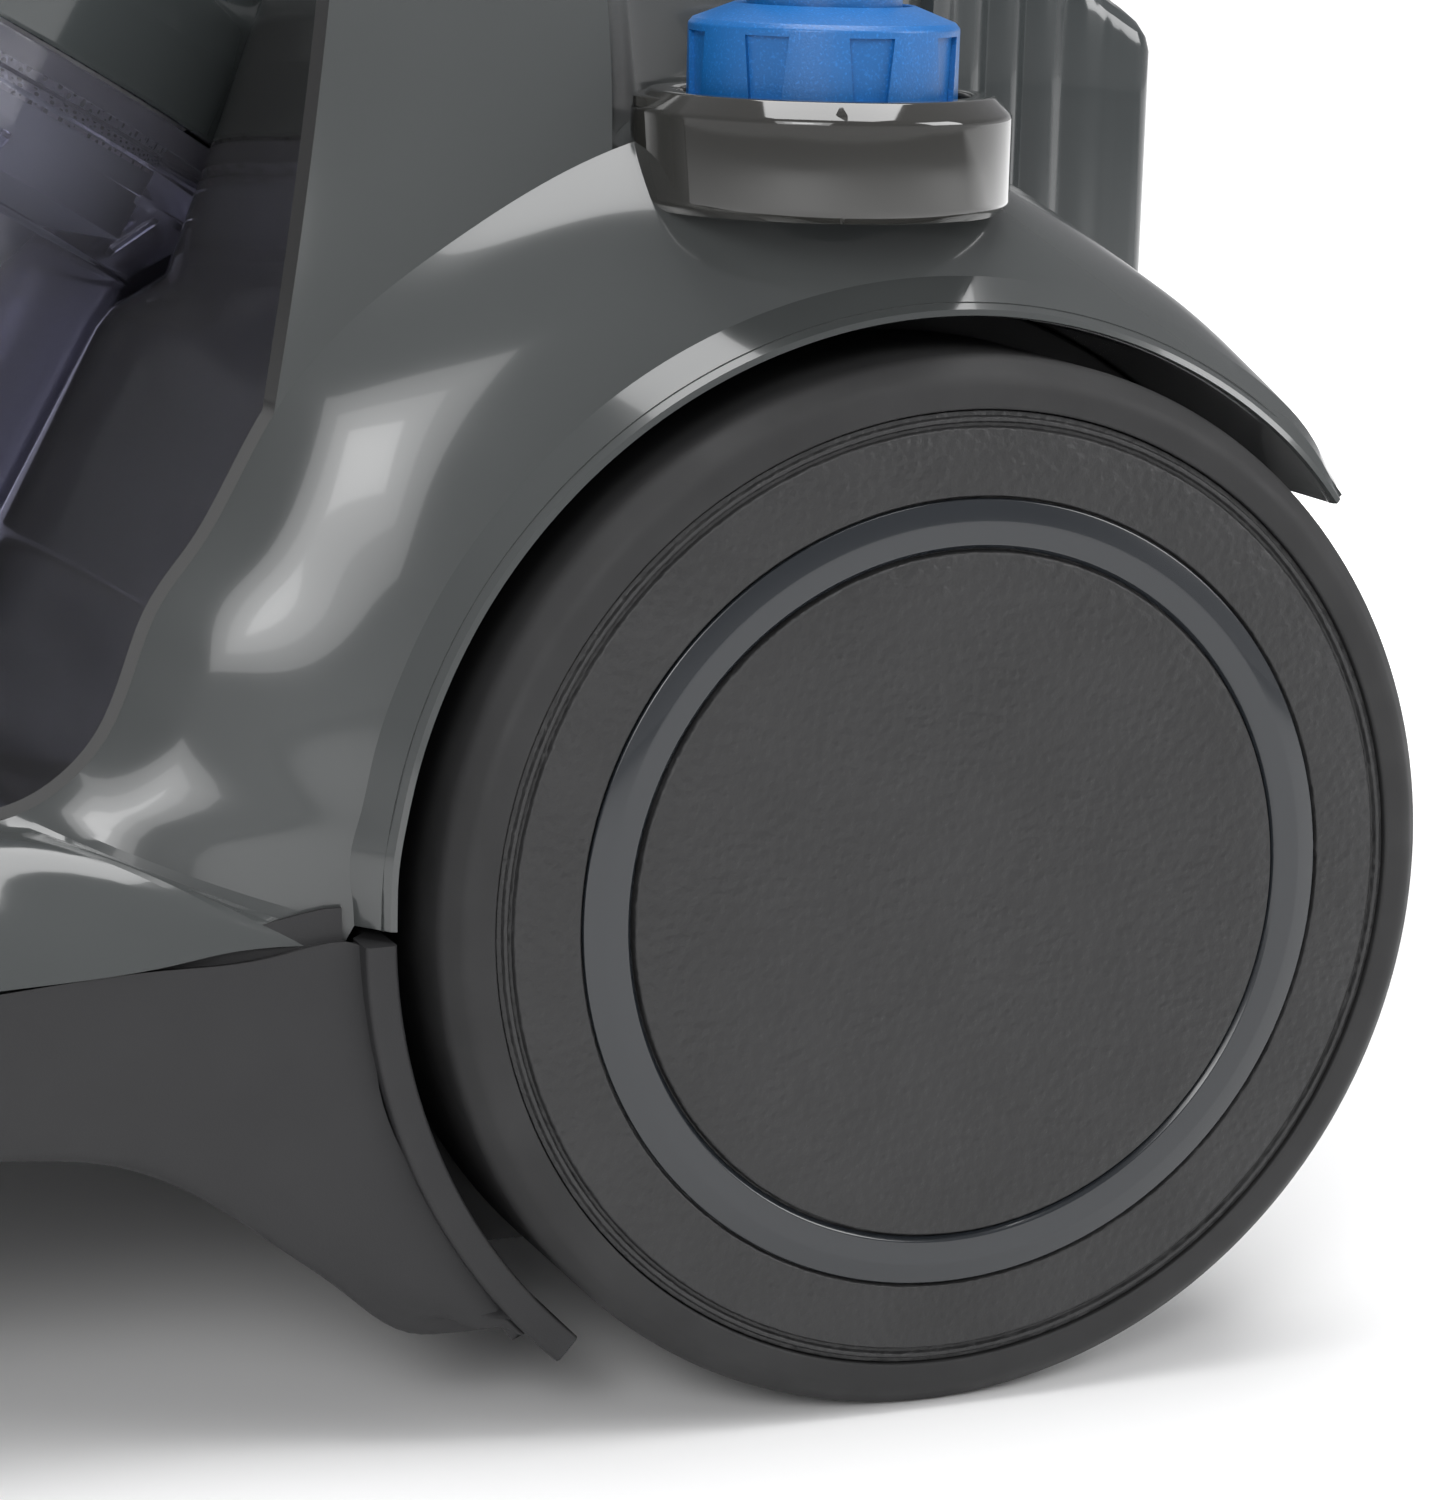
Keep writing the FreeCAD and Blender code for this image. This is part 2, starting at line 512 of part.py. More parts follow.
def lean_box(x0, x1, y0, y1, z0, z1, name="lean_block"):
    """A block between corners given in the bin's leaning coordinates."""
    outline = [(x0, y0), (x1, y0), (x1, y1), (x0, y1)]
    return leaning(padded(name, "XY_Plane", [outline], "(%s) - (%s)" % (z1, z0), z0))


def hinge_rod(radius, low, high):
    """A length of the lid hinge: a cylinder along X in front of the collar."""
    outline = [("0", low), (radius, low), (radius, high), ("0", high)]
    made = turned("hinge_rod", outline)
    turn = Rotation(Vector(1, 0, 0), -dims.lean_angle)
    centre = Vector(0, dims.bin_y, dims.bin_z) + turn.multVec(Vector(0, -dims.hinge_out, dims.collar_top))
    made.Placement = Placement(centre, Rotation(Vector(0, 1, 0), 90))
    return made


def make_bin():
    inner = "bin_radius - bin_wall"
    wall = leaning(turned("bin_wall_body", [
        ("duct_bore", "bin_base"), ("bin_radius - 3", "bin_base"), ("bin_radius", "bin_base + 3"),
        ("bin_radius", "flare_start"), ("collar_radius", "collar_start"), ("collar_radius", "collar_top"),
        ("collar_radius - bin_wall", "collar_top"), ("collar_radius - bin_wall", "collar_start + 1"),
        (inner, "flare_start + 1"), (inner, "bin_base + 3"), ("duct_bore", "bin_base + 3")]))
    knuckles = [hinge_rod("hinge_radius", "8", "20"), hinge_rod("hinge_radius", "-20", "-8")]
    relief = hinge_rod("hinge_relief", "-8", "8")
    bore = hinge_rod("hinge_pin", "-21", "21")
    node(cut(fuse(wall, *knuckles), relief, bore), "dust_bin")
    node(hinge_rod("hinge_pin", "-20", "20"), "lid_hinge_pin")
    node(leaning(ring("riser", "duct_bore", "duct_outer", "bin_base + 3", "30")), "riser_tube")
    cone = leaning(turned("cone", [
        ("28", "34"), ("30", "34"), ("46", "82"), ("58", "86"), ("58", "96"), ("56", "96"), ("56", "88"),
        ("44", "84")]))
    node(cone, "cyclone_cone")
    node(leaning(ring("shroud", "50", "58", "96", "105.4")), "mesh_shroud")
    filter_pad = turned("filter", [("0", "105.4"), ("58", "105.4"), ("60", "108"), ("60", "119"), ("58",
                                                                                                   "121"),
                                   ("0", "121")])
    node(leaning(filter_pad), "pre_motor_filter")
    node(leaning(ring("seal", "collar_radius - 5.4", "collar_radius - bin_wall", "collar_top - 4",
                      "collar_top - 0.6")),
         "bin_seal")


def make_lid():
    low = "collar_top + lid_gap"
    cap = leaning(turned("cap", [
        ("collar_radius - bin_wall", low), ("collar_radius", low), ("collar_radius", "cap_top - 11"),
        ("collar_radius - 2.5", "cap_top - 5"), ("collar_radius - 7", "cap_top - 1.4"),
        ("collar_radius - 13", "cap_top"), ("0", "cap_top"), ("0", "cap_top - 3"), ("collar_radius - 13",
                                                                                    "cap_top - 3"),
        ("collar_radius - 9", "cap_top - 5"), ("collar_radius - 4.5", "cap_top - 11")]))
    knuckle = hinge_rod("hinge_radius", "-7.7", "7.7")
    reliefs = [hinge_rod("hinge_relief", "7.7", "20.6"), hinge_rod("hinge_relief", "-20.6", "-7.7")]
    bore = hinge_rod("hinge_pin + running_gap", "-9", "9")
    outlet = rod("14", "60", "0", "seam_y - 10", "air_z", "Y")
    node(cut(fuse(cap, knuckle), *reliefs, bore, outlet), "bin_cap")
    arch = [("-52", "cap_top"), ("-47", "cap_top + 24"), ("-37", "cap_top + 38"), ("37", "cap_top + 38"),
            ("47", "cap_top + 24"), ("52", "cap_top"), ("38", "cap_top"), ("34", "cap_top + 20"),
            ("29", "cap_top + 26"), ("-29", "cap_top + 26"), ("-34", "cap_top + 20"), ("-38", "cap_top")]
    handle = leaning(padded("handle", "YZ_Plane", [arch], "26", middle=True))
    pocket = lean_box("-6.3", "6.3", "-34.3", "-19.7", "cap_top + 31", "cap_top + 40")
    node(cut(handle, pocket), "carry_handle")
    node(lean_box("-9", "9", "-15", "34", "cap_top + 38", "cap_top + 40"), "handle_grip")
    node(lean_box("-6", "6", "-34", "-20", "cap_top + 34", "cap_top + 41"), "lid_release_button")


# ---- controls ----

def make_pod(side, label):
    x = "%d * pod_x" % side
    cup = place(turned("cup", [
        ("0", "pod_base"), ("pod_radius - 3", "pod_base"), ("pod_radius", "pod_base + 3"),
        ("pod_radius", "pod_rim - 2.8"), ("pod_radius - 2.8", "pod_rim"), ("pod_bore", "pod_rim"),
        ("pod_bore", "pod_base + 3.5"), ("post_radius", "pod_base + 3.5"), ("post_radius", "pod_base + 14"),
        ("9", "pod_base + 14"), ("9", "pod_base + 3.5"), ("0", "pod_base + 3.5")]), x, "pod_y", "0")
    node(cup, label + "_control_pod")


def make_power_knob():
    """The speed knob: eight grip recesses round its skirt and a button in its middle."""
    bore = "post_radius + running_gap"
    body = turned("knob", [
        (bore, "pod_base + 5"), ("knob_radius", "pod_base + 5"), ("knob_radius", "pod_rim + 10"),
        ("knob_radius - 4", "pod_rim + 13.4"), ("button_radius + 0.1", "pod_rim + 13.4"),
        ("button_radius + 0.1", "pod_base + 17.5"), ("8", "pod_base + 17.5"), ("8", "pod_base + 14.5"),
        (bore, "pod_base + 14.5")])
    turn = body.Tip
    doc.recompute()
    before = body.Shape.Volume
    recess = [("-2.7", "pod_rim + 0.3"), ("2.7", "pod_rim + 0.3"), ("3.6", "pod_rim + 9.7"), ("-3.6",
                                                                                              "pod_rim + 9.7")]
    profile = sketch(body, "YZ_Plane", [recess], "knob_radius - 1.4")
    pocket = body.newObject("PartDesign::Pocket", "recess")
    pocket.Profile = profile
    pocket.Reversed = True
    pocket.Length = 5
    body.Tip = pocket
    doc.recompute()
    pattern = body.newObject("PartDesign::PolarPattern", "recesses")
    pattern.Originals = [pocket]
    pattern.Axis = (next(o for o in body.Origin.OriginFeatures if o.Role == "Z_Axis"), [""])
    pattern.Angle = 360
    pattern.Occurrences = 8
    body.Tip = pattern
    doc.recompute()
    removed = before - body.Shape.Volume
    assert 8 * 20 < removed < 8 * 130, "grip recesses removed %.1f mm3" % removed
    assert turn.Shape.isValid()
    node(place(body, "pod_x", "pod_y", "0", (0, 0, 1), -3), "power_knob")
    button = turned("button", [
        ("0", "pod_base + 9"), ("5", "pod_base + 9"), ("5", "pod_base + 21"), ("button_radius",
                                                                               "pod_base + 21"),
        ("button_radius", "pod_rim + 17"), ("button_radius - 1.6", "pod_rim + 18.6"), ("0",
                                                                                       "pod_rim + 19")])
    node(place(button, "pod_x", "pod_y", "0"), "power_button")


def make_rewind_button():
    bore = "post_radius + running_gap"
    button = turned("rewind", [
        (bore, "pod_base + 8.5"), ("knob_radius", "pod_base + 8.5"), ("knob_radius", "pod_rim + 6"),
        ("knob_radius - 3", "pod_rim + 9"), ("0", "pod_rim + 10"), ("0", "pod_base + 19"), (bore,
                                                                                            "pod_base + 19")])
    node(place(button, "-pod_x", "pod_y", "0"), "rewind_button")


def make_bin_release():
    node(box("-16", "16", "86", "104", "deck_z - 2.6", "deck_z + 5"), "bin_release_button")


# ---- air path and motor ----

def make_inlet():
    collar = place(turned("inlet", [
        ("inlet_bore", "0"), ("inlet_outer + 3", "0"), ("inlet_outer + 3", "2"), ("inlet_outer", "2"),
        ("inlet_outer", "16"), ("inlet_bore", "16")]), "0", "nose_y - 2", "inlet_z", (1, 0, 0), -90)
    node(collar, "hose_inlet")
    seal = place(ring("inlet_ring", "duct_bore + 0.6", "inlet_outer", "16", "18"), "0", "nose_y - 2",
                 "inlet_z",
                 (1, 0, 0), -90)
    node(seal, "inlet_seal")
    reach = Vector(0, dims.bin_y, dims.bin_z)
    turn = Rotation(Vector(1, 0, 0), -dims.lean_angle)
    foot = reach + turn.multVec(Vector(0, 0, dims.bin_base - 5))
    climb = (foot.z - dims.inlet_z) / turn.multVec(Vector(0, 0, 1)).z
    knee_y = "bin_y + (bin_base - 5 - %.4f) * sin(lean_angle)" % climb
    run = "%s - (nose_y + 16)" % knee_y
    outer = [rod("duct_outer", run, "0", "nose_y + 16", "inlet_z", "Y"),
             leaning(turned("riser_outer", [("0", "bin_base - 5 - %.4f" % climb), ("duct_outer",
                                                                                   "bin_base - 5 - %.4f" % climb),
                                            ("duct_outer", "bin_base - 5"), ("0", "bin_base - 5")]))]
    knee = ball("duct_outer", "0", knee_y, "inlet_z")
    knee_bore = ball("duct_bore", "0", knee_y, "inlet_z")
    inner = [rod("duct_bore", run + " + 2", "0", "nose_y + 14", "inlet_z", "Y"),
             leaning(turned("riser_inner", [("0", "bin_base - 5 - %.4f" % climb), ("duct_bore",
                                                                                   "bin_base - 5 - %.4f" % climb),
                                            ("duct_bore", "bin_base - 3"), ("0", "bin_base - 3")]))]
    trim = lean_box("-60", "60", "-60", "60", "bin_base - 5", "bin_base + 40")
    node(cut(fuse(*outer, knee), *inner, knee_bore, trim), "inlet_duct")


def across(obj):
    """Lay a turned piece along X at the motor's centre."""
    return place(obj, "0", "motor_y", "motor_z", (0, 1, 0), 90)


def make_motor():
    r = "motor_radius"
    casing = across(turned("casing", [
        ("14", "-56"), (r, "-56"), (r, "50"), ("14", "50"), ("14", "47"), (r + " - 3", "47"),
        (r + " - 3", "-53"), ("14", "-53")]))
    inlet = rod("15", "14", "0", "motor_y", "motor_z + motor_radius - 8")
    node(cut(casing, inlet), "motor_casing")
    node(across(ring("stator", "18.6", r + " - 3", "2", "42")), "motor_stator")
    rotor = across(turned("rotor", [
        ("0", "-50"), ("shaft_radius", "-50"), ("shaft_radius", "4"), ("18", "4"), ("18", "40"),
        ("shaft_radius", "40"), ("shaft_radius", "54"), ("0", "54")]))
    node(rotor, "motor_rotor")
    disc = across(turned("fan_disc", [
        ("shaft_radius", "-46"), ("40", "-46"), ("40", "-44"), ("12", "-43"), ("12", "-30"),
        ("shaft_radius", "-30")]))
    blades = []
    for i in range(9):
        blade = doc.addObject("Part::Box", "blade")
        blade.Length, blade.Width, blade.Height = 13, 28, 1.6
        turn = Rotation(Vector(1, 0, 0), 40 * i)
        blade.Placement = Placement(Vector(-45, dims.motor_y, dims.motor_z) + turn.multVec(Vector(0, 11,
                                                                                                  -0.8)),
                                                                                                  turn)
        blades.append(blade)
    node(fuse(disc, *blades), "fan_impeller")
    for label, low, high in (("fan_end", "-62", "-56"), ("drive_end", "50", "56")):
        node(across(ring("mount", "20", "34", low, high)), "motor_mount_" + label)
    low = "motor_z + motor_radius - 6"
    outer = elbow("14", low, "seam_y + 32")
    inner = elbow("12", low + " - 1", "seam_y + 31")
    node(cut(cut(outer, inner), casing_clearance()), "motor_inlet_duct")


def ball(radius, x, y, z):
    made = doc.addObject("Part::Sphere", "ball")
    bind(made, Radius=radius)
    return place(made, x, y, z)


def elbow(radius, low, front):
    """A pipe that rises from the motor and turns forward to the cradle wall."""
    return fuse(rod(radius, "air_z - (%s)" % low, "0", "motor_y", low), ball(radius, "0", "motor_y",
                                                                             "air_z"),
                rod(radius, "motor_y - (%s)" % front, "0", front, "air_z", "Y"))


def casing_clearance():
    """The motor casing's outside, so that the duct ends on it."""
    return across(turned("casing_outside", [("0", "-56"), ("motor_radius", "-56"), ("motor_radius", "50"),
                                            ("0", "50")]))


def make_reel():
    drum = place(turned("drum", [
        ("8 + running_gap", "2"), ("reel_radius", "2"), ("reel_radius", "4"), ("26", "4"), ("26",
                                                                                            "reel_height - 4"),
        ("reel_radius", "reel_height - 4"), ("reel_radius", "reel_height - 2"), ("8 + running_gap",
                                                                                 "reel_height - 2")]),
        "0", "reel_y", "reel_z")
    node(drum, "cord_reel")
    spindle = place(turned("spindle", [
        ("0", "belly_z + wall"), ("14", "belly_z + wall"), ("14", "reel_z + 1"), ("8", "reel_z + 1"),
        ("8", "reel_z + reel_height"), ("0", "reel_z + reel_height")]), "0", "reel_y", "0")
    node(spindle, "reel_spindle")
    bush = place(turned("bush", [
        ("4.5", "-6"), ("7", "-6"), ("7", "1"), ("10", "1"), ("10", "4"), ("6", "6"), ("4.5", "6")]),
        "40", "rear_y", "50", (1, 0, 0), -90)
    node(bush, "cord_outlet_bush")
    node(box("-62", "-28", "seam_y + 34", "seam_y + 94", "180", "182"), "control_board")


make_chassis()
make_screws()
make_upper_shell()
make_cradle()
make_rear_housing()
make_exhaust_door()
for side, label in ((1, "left"), (-1, "right")):
    make_wheel(side, label)
    make_pod(side, label)
make_caster()
make_bin()
make_lid()
make_power_knob()
make_rewind_button()
make_bin_release()
make_inlet()
make_motor()
make_reel()
doc.recompute()

for obj in doc.Objects:
    if "Invalid" in obj.State or "Error" in obj.State:
        raise RuntimeError("%s (%s) failed: %s" % (obj.Name, obj.Label, obj.State))
for obj in nodes:
    if obj.Shape.isNull() or not obj.Shape.isValid():
        raise RuntimeError(obj.Label + " has no valid shape")

os.makedirs("parts", exist_ok=True)
for obj in nodes:
    obj.Shape.exportStep(os.path.join("parts", obj.Label + ".step"))
    limits = obj.Shape.BoundBox
    print("%-22s %2d solids %9.0f mm3  X %6.1f %6.1f  Y %6.1f %6.1f  Z %6.1f %6.1f" % (
        obj.Label, len(obj.Shape.Solids), obj.Shape.Volume, limits.XMin, limits.XMax,
        limits.YMin, limits.YMax, limits.ZMin, limits.ZMax))
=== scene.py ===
import json
import math

import bmesh
import bpy
import numpy as np
from mathutils import Matrix, Vector


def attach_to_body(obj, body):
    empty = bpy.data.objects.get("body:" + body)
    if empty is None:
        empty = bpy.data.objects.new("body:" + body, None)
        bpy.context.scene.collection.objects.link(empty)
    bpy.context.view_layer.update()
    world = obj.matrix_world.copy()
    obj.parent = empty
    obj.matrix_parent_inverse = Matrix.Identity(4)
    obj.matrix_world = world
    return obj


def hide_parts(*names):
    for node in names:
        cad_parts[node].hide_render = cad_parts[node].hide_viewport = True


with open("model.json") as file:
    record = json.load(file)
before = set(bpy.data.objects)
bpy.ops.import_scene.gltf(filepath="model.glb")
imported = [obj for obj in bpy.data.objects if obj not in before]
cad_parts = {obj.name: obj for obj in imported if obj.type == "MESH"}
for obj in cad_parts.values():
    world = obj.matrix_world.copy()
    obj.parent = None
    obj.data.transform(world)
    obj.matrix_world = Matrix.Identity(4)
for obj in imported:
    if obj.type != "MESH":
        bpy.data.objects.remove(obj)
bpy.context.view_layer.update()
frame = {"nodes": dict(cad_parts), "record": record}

# Canister vacuum cleaner. Lengths in this file are millimetres in the CAD frame and become metres
# when a mesh is made: +Z up, front towards -Y, +X the machine's left side.

MM = 0.001
CAMERA_PLACE = (0.7155, -0.1637, 0.2426)     # metres
CAMERA_AIM = (-0.9026, 0.3756, -0.2103)
CAMERA_ROLL = 1.52                           # degrees
CAMERA_LENS = 103.1
AXLE = (117.0, 83.0)            # y and z of the rear axle
LIP_INNER, LIP_OUTER = 88.6, 94.0
LIP_INNER_X, LIP_OUTER_X = 133.8, 128.0
WELL_X = 92.0
LEAN = math.radians(28.3)
BIN_FOOT = (-72.4, 123.5)       # y and z where the bin's tilted axis has height 0
POD = (113.1, 101.5)            # x and y of the control pods
POD_RIM, POD_BASE, POD_RADIUS, POD_BORE = 203.7, 186.0, 29.0, 22.6
KNOB_RADIUS, BUTTON_RADIUS = 20.6, 11.8
BIN_BASE, BIN_RADIUS, COLLAR_RADIUS, COLLAR_TOP = -34.0, 65.0, 72.0, 104.4
BELLY = 17.5
SEAM_REAR = 80.8
INLET_Z = 77.0


# ---- curves and grids ----

def cubic(points, count, closed=False):
    """Samples of the natural cubic spline through points, spaced along its chord length."""
    points = np.asarray(points, dtype=float)
    if closed:
        wrap = 4
        loop = np.vstack([points[-wrap:], points, points[:wrap + 1]])
        knots = np.concatenate([[0], np.cumsum(np.linalg.norm(np.diff(loop, axis=0), axis=1))])
        start, end = knots[wrap], knots[wrap + len(points)]
        return evaluate(loop, knots, np.linspace(start, end, count, endpoint=False))
    gaps = np.maximum(np.linalg.norm(np.diff(points, axis=0), axis=1), 1e-6)
    knots = np.concatenate([[0], np.cumsum(gaps)])
    return evaluate(points, knots, np.linspace(0, knots[-1], count))


def evaluate(points, knots, where):
    """The natural cubic spline with the given knots, at the places asked for."""
    n = len(points)
    gaps = np.diff(knots)
    system, right = np.eye(n), np.zeros_like(points)
    for i in range(1, n - 1):
        system[i, i - 1:i + 2] = gaps[i - 1], 2 * (gaps[i - 1] + gaps[i]), gaps[i]
        right[i] = 6 * ((points[i + 1] - points[i]) / gaps[i] - (points[i] - points[i - 1]) / gaps[i - 1])
    bend = np.linalg.solve(system, right)
    index = np.clip(np.searchsorted(knots, where, side="right") - 1, 0, n - 2)
    left, span = knots[index], gaps[index]
    a, b = ((knots[index + 1] - where) / span)[:, None], ((where - left) / span)[:, None]
    square = (span ** 2)[:, None] / 6
    return (a * points[index] + b * points[index + 1]
            + ((a ** 3 - a) * bend[index] + (b ** 3 - b) * bend[index + 1]) * square)


def smooth_sheet(sections, along, across):
    """Rows of points on a smooth surface through control sections, each with the same number of points."""
    rows = np.array([cubic(section, across) for section in sections])
    middle = rows.mean(axis=1)
    gaps = np.maximum(np.linalg.norm(np.diff(middle, axis=0), axis=1), 1e-6)
    knots = np.concatenate([[0], np.cumsum(gaps)])
    flat = evaluate(rows.reshape(len(sections), -1), knots, np.linspace(0, knots[-1], along))
    return flat.reshape(along, across, 3)


def rounded(corners, closed=True, steps=5):
    """A polygon's points with each corner (x, y, radius) turned into an arc; radius 0 stays sharp."""
    out, n = [], len(corners)
    for i, corner in enumerate(corners):
        x, y = corner[0], corner[1]
        radius = corner[2] if len(corner) > 2 else 0
        if radius == 0 or (not closed and i in (0, n - 1)):
            out.append((x, y))
            continue
        here = Vector((x, y))
        before = Vector(corners[i - 1][:2]) - here
        after = Vector(corners[(i + 1) % n][:2]) - here
        half = before.angle(after) / 2
        reach = min(radius / math.tan(half), before.length * 0.49, after.length * 0.49)
        radius = reach * math.tan(half)
        start, end = here + before.normalized() * reach, here + after.normalized() * reach
        centre = here + (before.normalized() + after.normalized()).normalized() * (radius / math.sin(half))
        first, last = start - centre, end - centre
        for k in range(steps + 1):
            spoke = first.slerp(last, k / steps) if first.angle(last, 0) > 1e-4 else first
            point = centre + spoke.normalized() * radius
            out.append((point.x, point.y))
    return out


def polar(angle, radius, x):
    """A point round the rear axle: angle 0 is straight ahead and 90 is up."""
    a = math.radians(angle)
    return (x, AXLE[0] - radius * math.cos(a), AXLE[1] + radius * math.sin(a))


def lean_point(x, y, along):
    """A point in the bin's leaning frame: along runs up its axis, and y points to its lower rear side."""
    return (x, BIN_FOOT[0] + y * math.cos(LEAN) + along * math.sin(LEAN),
            BIN_FOOT[1] - y * math.sin(LEAN) + along * math.cos(LEAN))


# ---- mesh making ----

def new_object(name, bm, body, slot, smooth_angle=35):
    """A smooth-shaded piece that rides on a body and wears its slot's material."""
    mesh = bpy.data.meshes.new(name)
    bm.to_mesh(mesh)
    bm.free()
    obj = bpy.data.objects.new(name, mesh)
    bpy.context.scene.collection.objects.link(obj)
    mesh.materials.append(SKIN[slot])
    for face in mesh.polygons:
        face.use_smooth = True
    mesh.set_sharp_from_angle(angle=math.radians(smooth_angle))
    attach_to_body(obj, body)
    return obj


def solid_piece(name, bm, body, slot, smooth_angle=35):
    """A closed piece with its faces turned outwards."""
    bmesh.ops.recalc_face_normals(bm, faces=bm.faces)
    return new_object(name, bm, body, slot, smooth_angle)


def add_grid(bm, rows, closed_rows=False, closed_columns=False, flip=False):
    """Quads over a grid of points in millimetres; faces whose corners meet become triangles."""
    verts = [[bm.verts.new(Vector(p) * MM) for p in row] for row in rows]
    row_count, column_count = len(rows), len(rows[0])
    for i in range(row_count if closed_rows else row_count - 1):
        for j in range(column_count if closed_columns else column_count - 1):
            k, m = (i + 1) % row_count, (j + 1) % column_count
            corners = [verts[i][j], verts[i][m], verts[k][m], verts[k][j]]
            bm.faces.new(corners[::-1] if flip else corners)
    return verts


def weld(bm, gap=0.00004):
    """Joins points closer than gap metres and drops the faces that collapse."""
    bmesh.ops.remove_doubles(bm, verts=bm.verts, dist=gap)
    bmesh.ops.dissolve_degenerate(bm, edges=bm.edges, dist=0.00001)


def add_turned(bm, profile, segments=96, place=None, start=0.0, sweep=360.0, closed_profile=True):
    """A profile of (radius, height) points turned about Z, then put in place by a function of x, y, z."""
    place = place or (lambda x, y, z: (x, y, z))
    full = sweep >= 360
    rows = []
    for i in range(segments if full else segments + 1):
        angle = math.radians(start + sweep * i / segments)
        rows.append([place(r * math.cos(angle), r * math.sin(angle), h) for r, h in profile])
    add_grid(bm, rows, closed_rows=full, closed_columns=closed_profile)


def turned(name, profile, body, slot, segments=96, place=None, smooth_angle=35, **more):
    """A closed profile turned into a piece."""
    bm = bmesh.new()
    add_turned(bm, profile, segments, place, **more)
    weld(bm)
    return solid_piece(name, bm, body, slot, smooth_angle)


def on_axle(side):
    """Places a turned piece on the rear axle: height becomes the distance out to that side."""
    return lambda x, y, z: (side * z, AXLE[0] + y, AXLE[1] + x)


def upright(cx, cy):
    """Places a turned piece upright at a plan position."""
    return lambda x, y, z: (cx + x, cy + y, z)


def modify(obj, kind, **settings):
    """Adds a modifier and applies it to the mesh at once."""
    modifier = obj.modifiers.new(kind.lower(), kind)
    for name, value in settings.items():
        setattr(modifier, name, value)
    view = bpy.context.view_layer
    view.update()
    made = bpy.data.meshes.new_from_object(obj.evaluated_get(view.depsgraph))
    obj.modifiers.clear()
    old = obj.data
    obj.data = made
    bpy.data.meshes.remove(old)
    return obj


def carve(obj, cutters, solver="EXACT"):
    """Cuts other meshes out of a piece and removes them."""
    for cutter in cutters:
        modify(obj, "BOOLEAN", operation="DIFFERENCE", object=cutter, solver=solver)
        bpy.data.objects.remove(cutter)
    for face in obj.data.polygons:
        face.use_smooth = True
    obj.data.set_sharp_from_angle(angle=math.radians(32))
    return obj


def solid_of(bm):
    """A closed mesh as a loose cutter object."""
    mesh = bpy.data.meshes.new("cutter")
    bmesh.ops.recalc_face_normals(bm, faces=bm.faces)
    bm.to_mesh(mesh)
    bm.free()
    made = bpy.data.objects.new("cutter", mesh)
    bpy.context.scene.collection.objects.link(made)
    return made


def cutter_turned(profile, place=None, segments=64):
    """A closed turned solid that carve() takes away."""
    bm = bmesh.new()
    add_turned(bm, profile, segments, place)
    weld(bm)
    return solid_of(bm)


def prism(bm, outline, low, high, place=None):
    """A closed prism over an outline of (x, y) points."""
    place = place or (lambda x, y, z: (x, y, z))
    rings = [[bm.verts.new(Vector(place(x, y, h)) * MM) for x, y in outline] for h in (low, high)]
    n = len(outline)
    for i in range(n):
        bm.faces.new([rings[0][i], rings[0][(i + 1) % n], rings[1][(i + 1) % n], rings[1][i]])
    bm.faces.new(rings[0][::-1])
    bm.faces.new(rings[1])


def shell_piece(name, grids, body, slot, thickness, smooth_angle=35, holes=()):
    """Smooth sheets welded into one skin, opened where asked and given a wall that grows inwards."""
    bm = bmesh.new()
    for rows, flip in grids:
        add_grid(bm, rows, flip=flip)
    weld(bm, 0.0002)
    for inside in holes:
        gone = [face for face in bm.faces if inside(*(face.calc_center_median() / MM))]
        bmesh.ops.delete(bm, geom=gone, context="FACES")
    obj = new_object(name, bm, body, slot, smooth_angle)
    modify(obj, "SOLIDIFY", thickness=thickness * MM, offset=-1, use_even_offset=False)
    obj.data.set_sharp_from_angle(angle=math.radians(smooth_angle))
    return obj


def both(grids):
    """Sheets on the left side and their mirror images on the right."""
    out = []
    for rows, flip in grids:
        out.append((rows, flip))
        other = np.array(rows, dtype=float).copy()
        other[..., 0] *= -1
        out.append((other, not flip))
    return out


# ---- materials ----

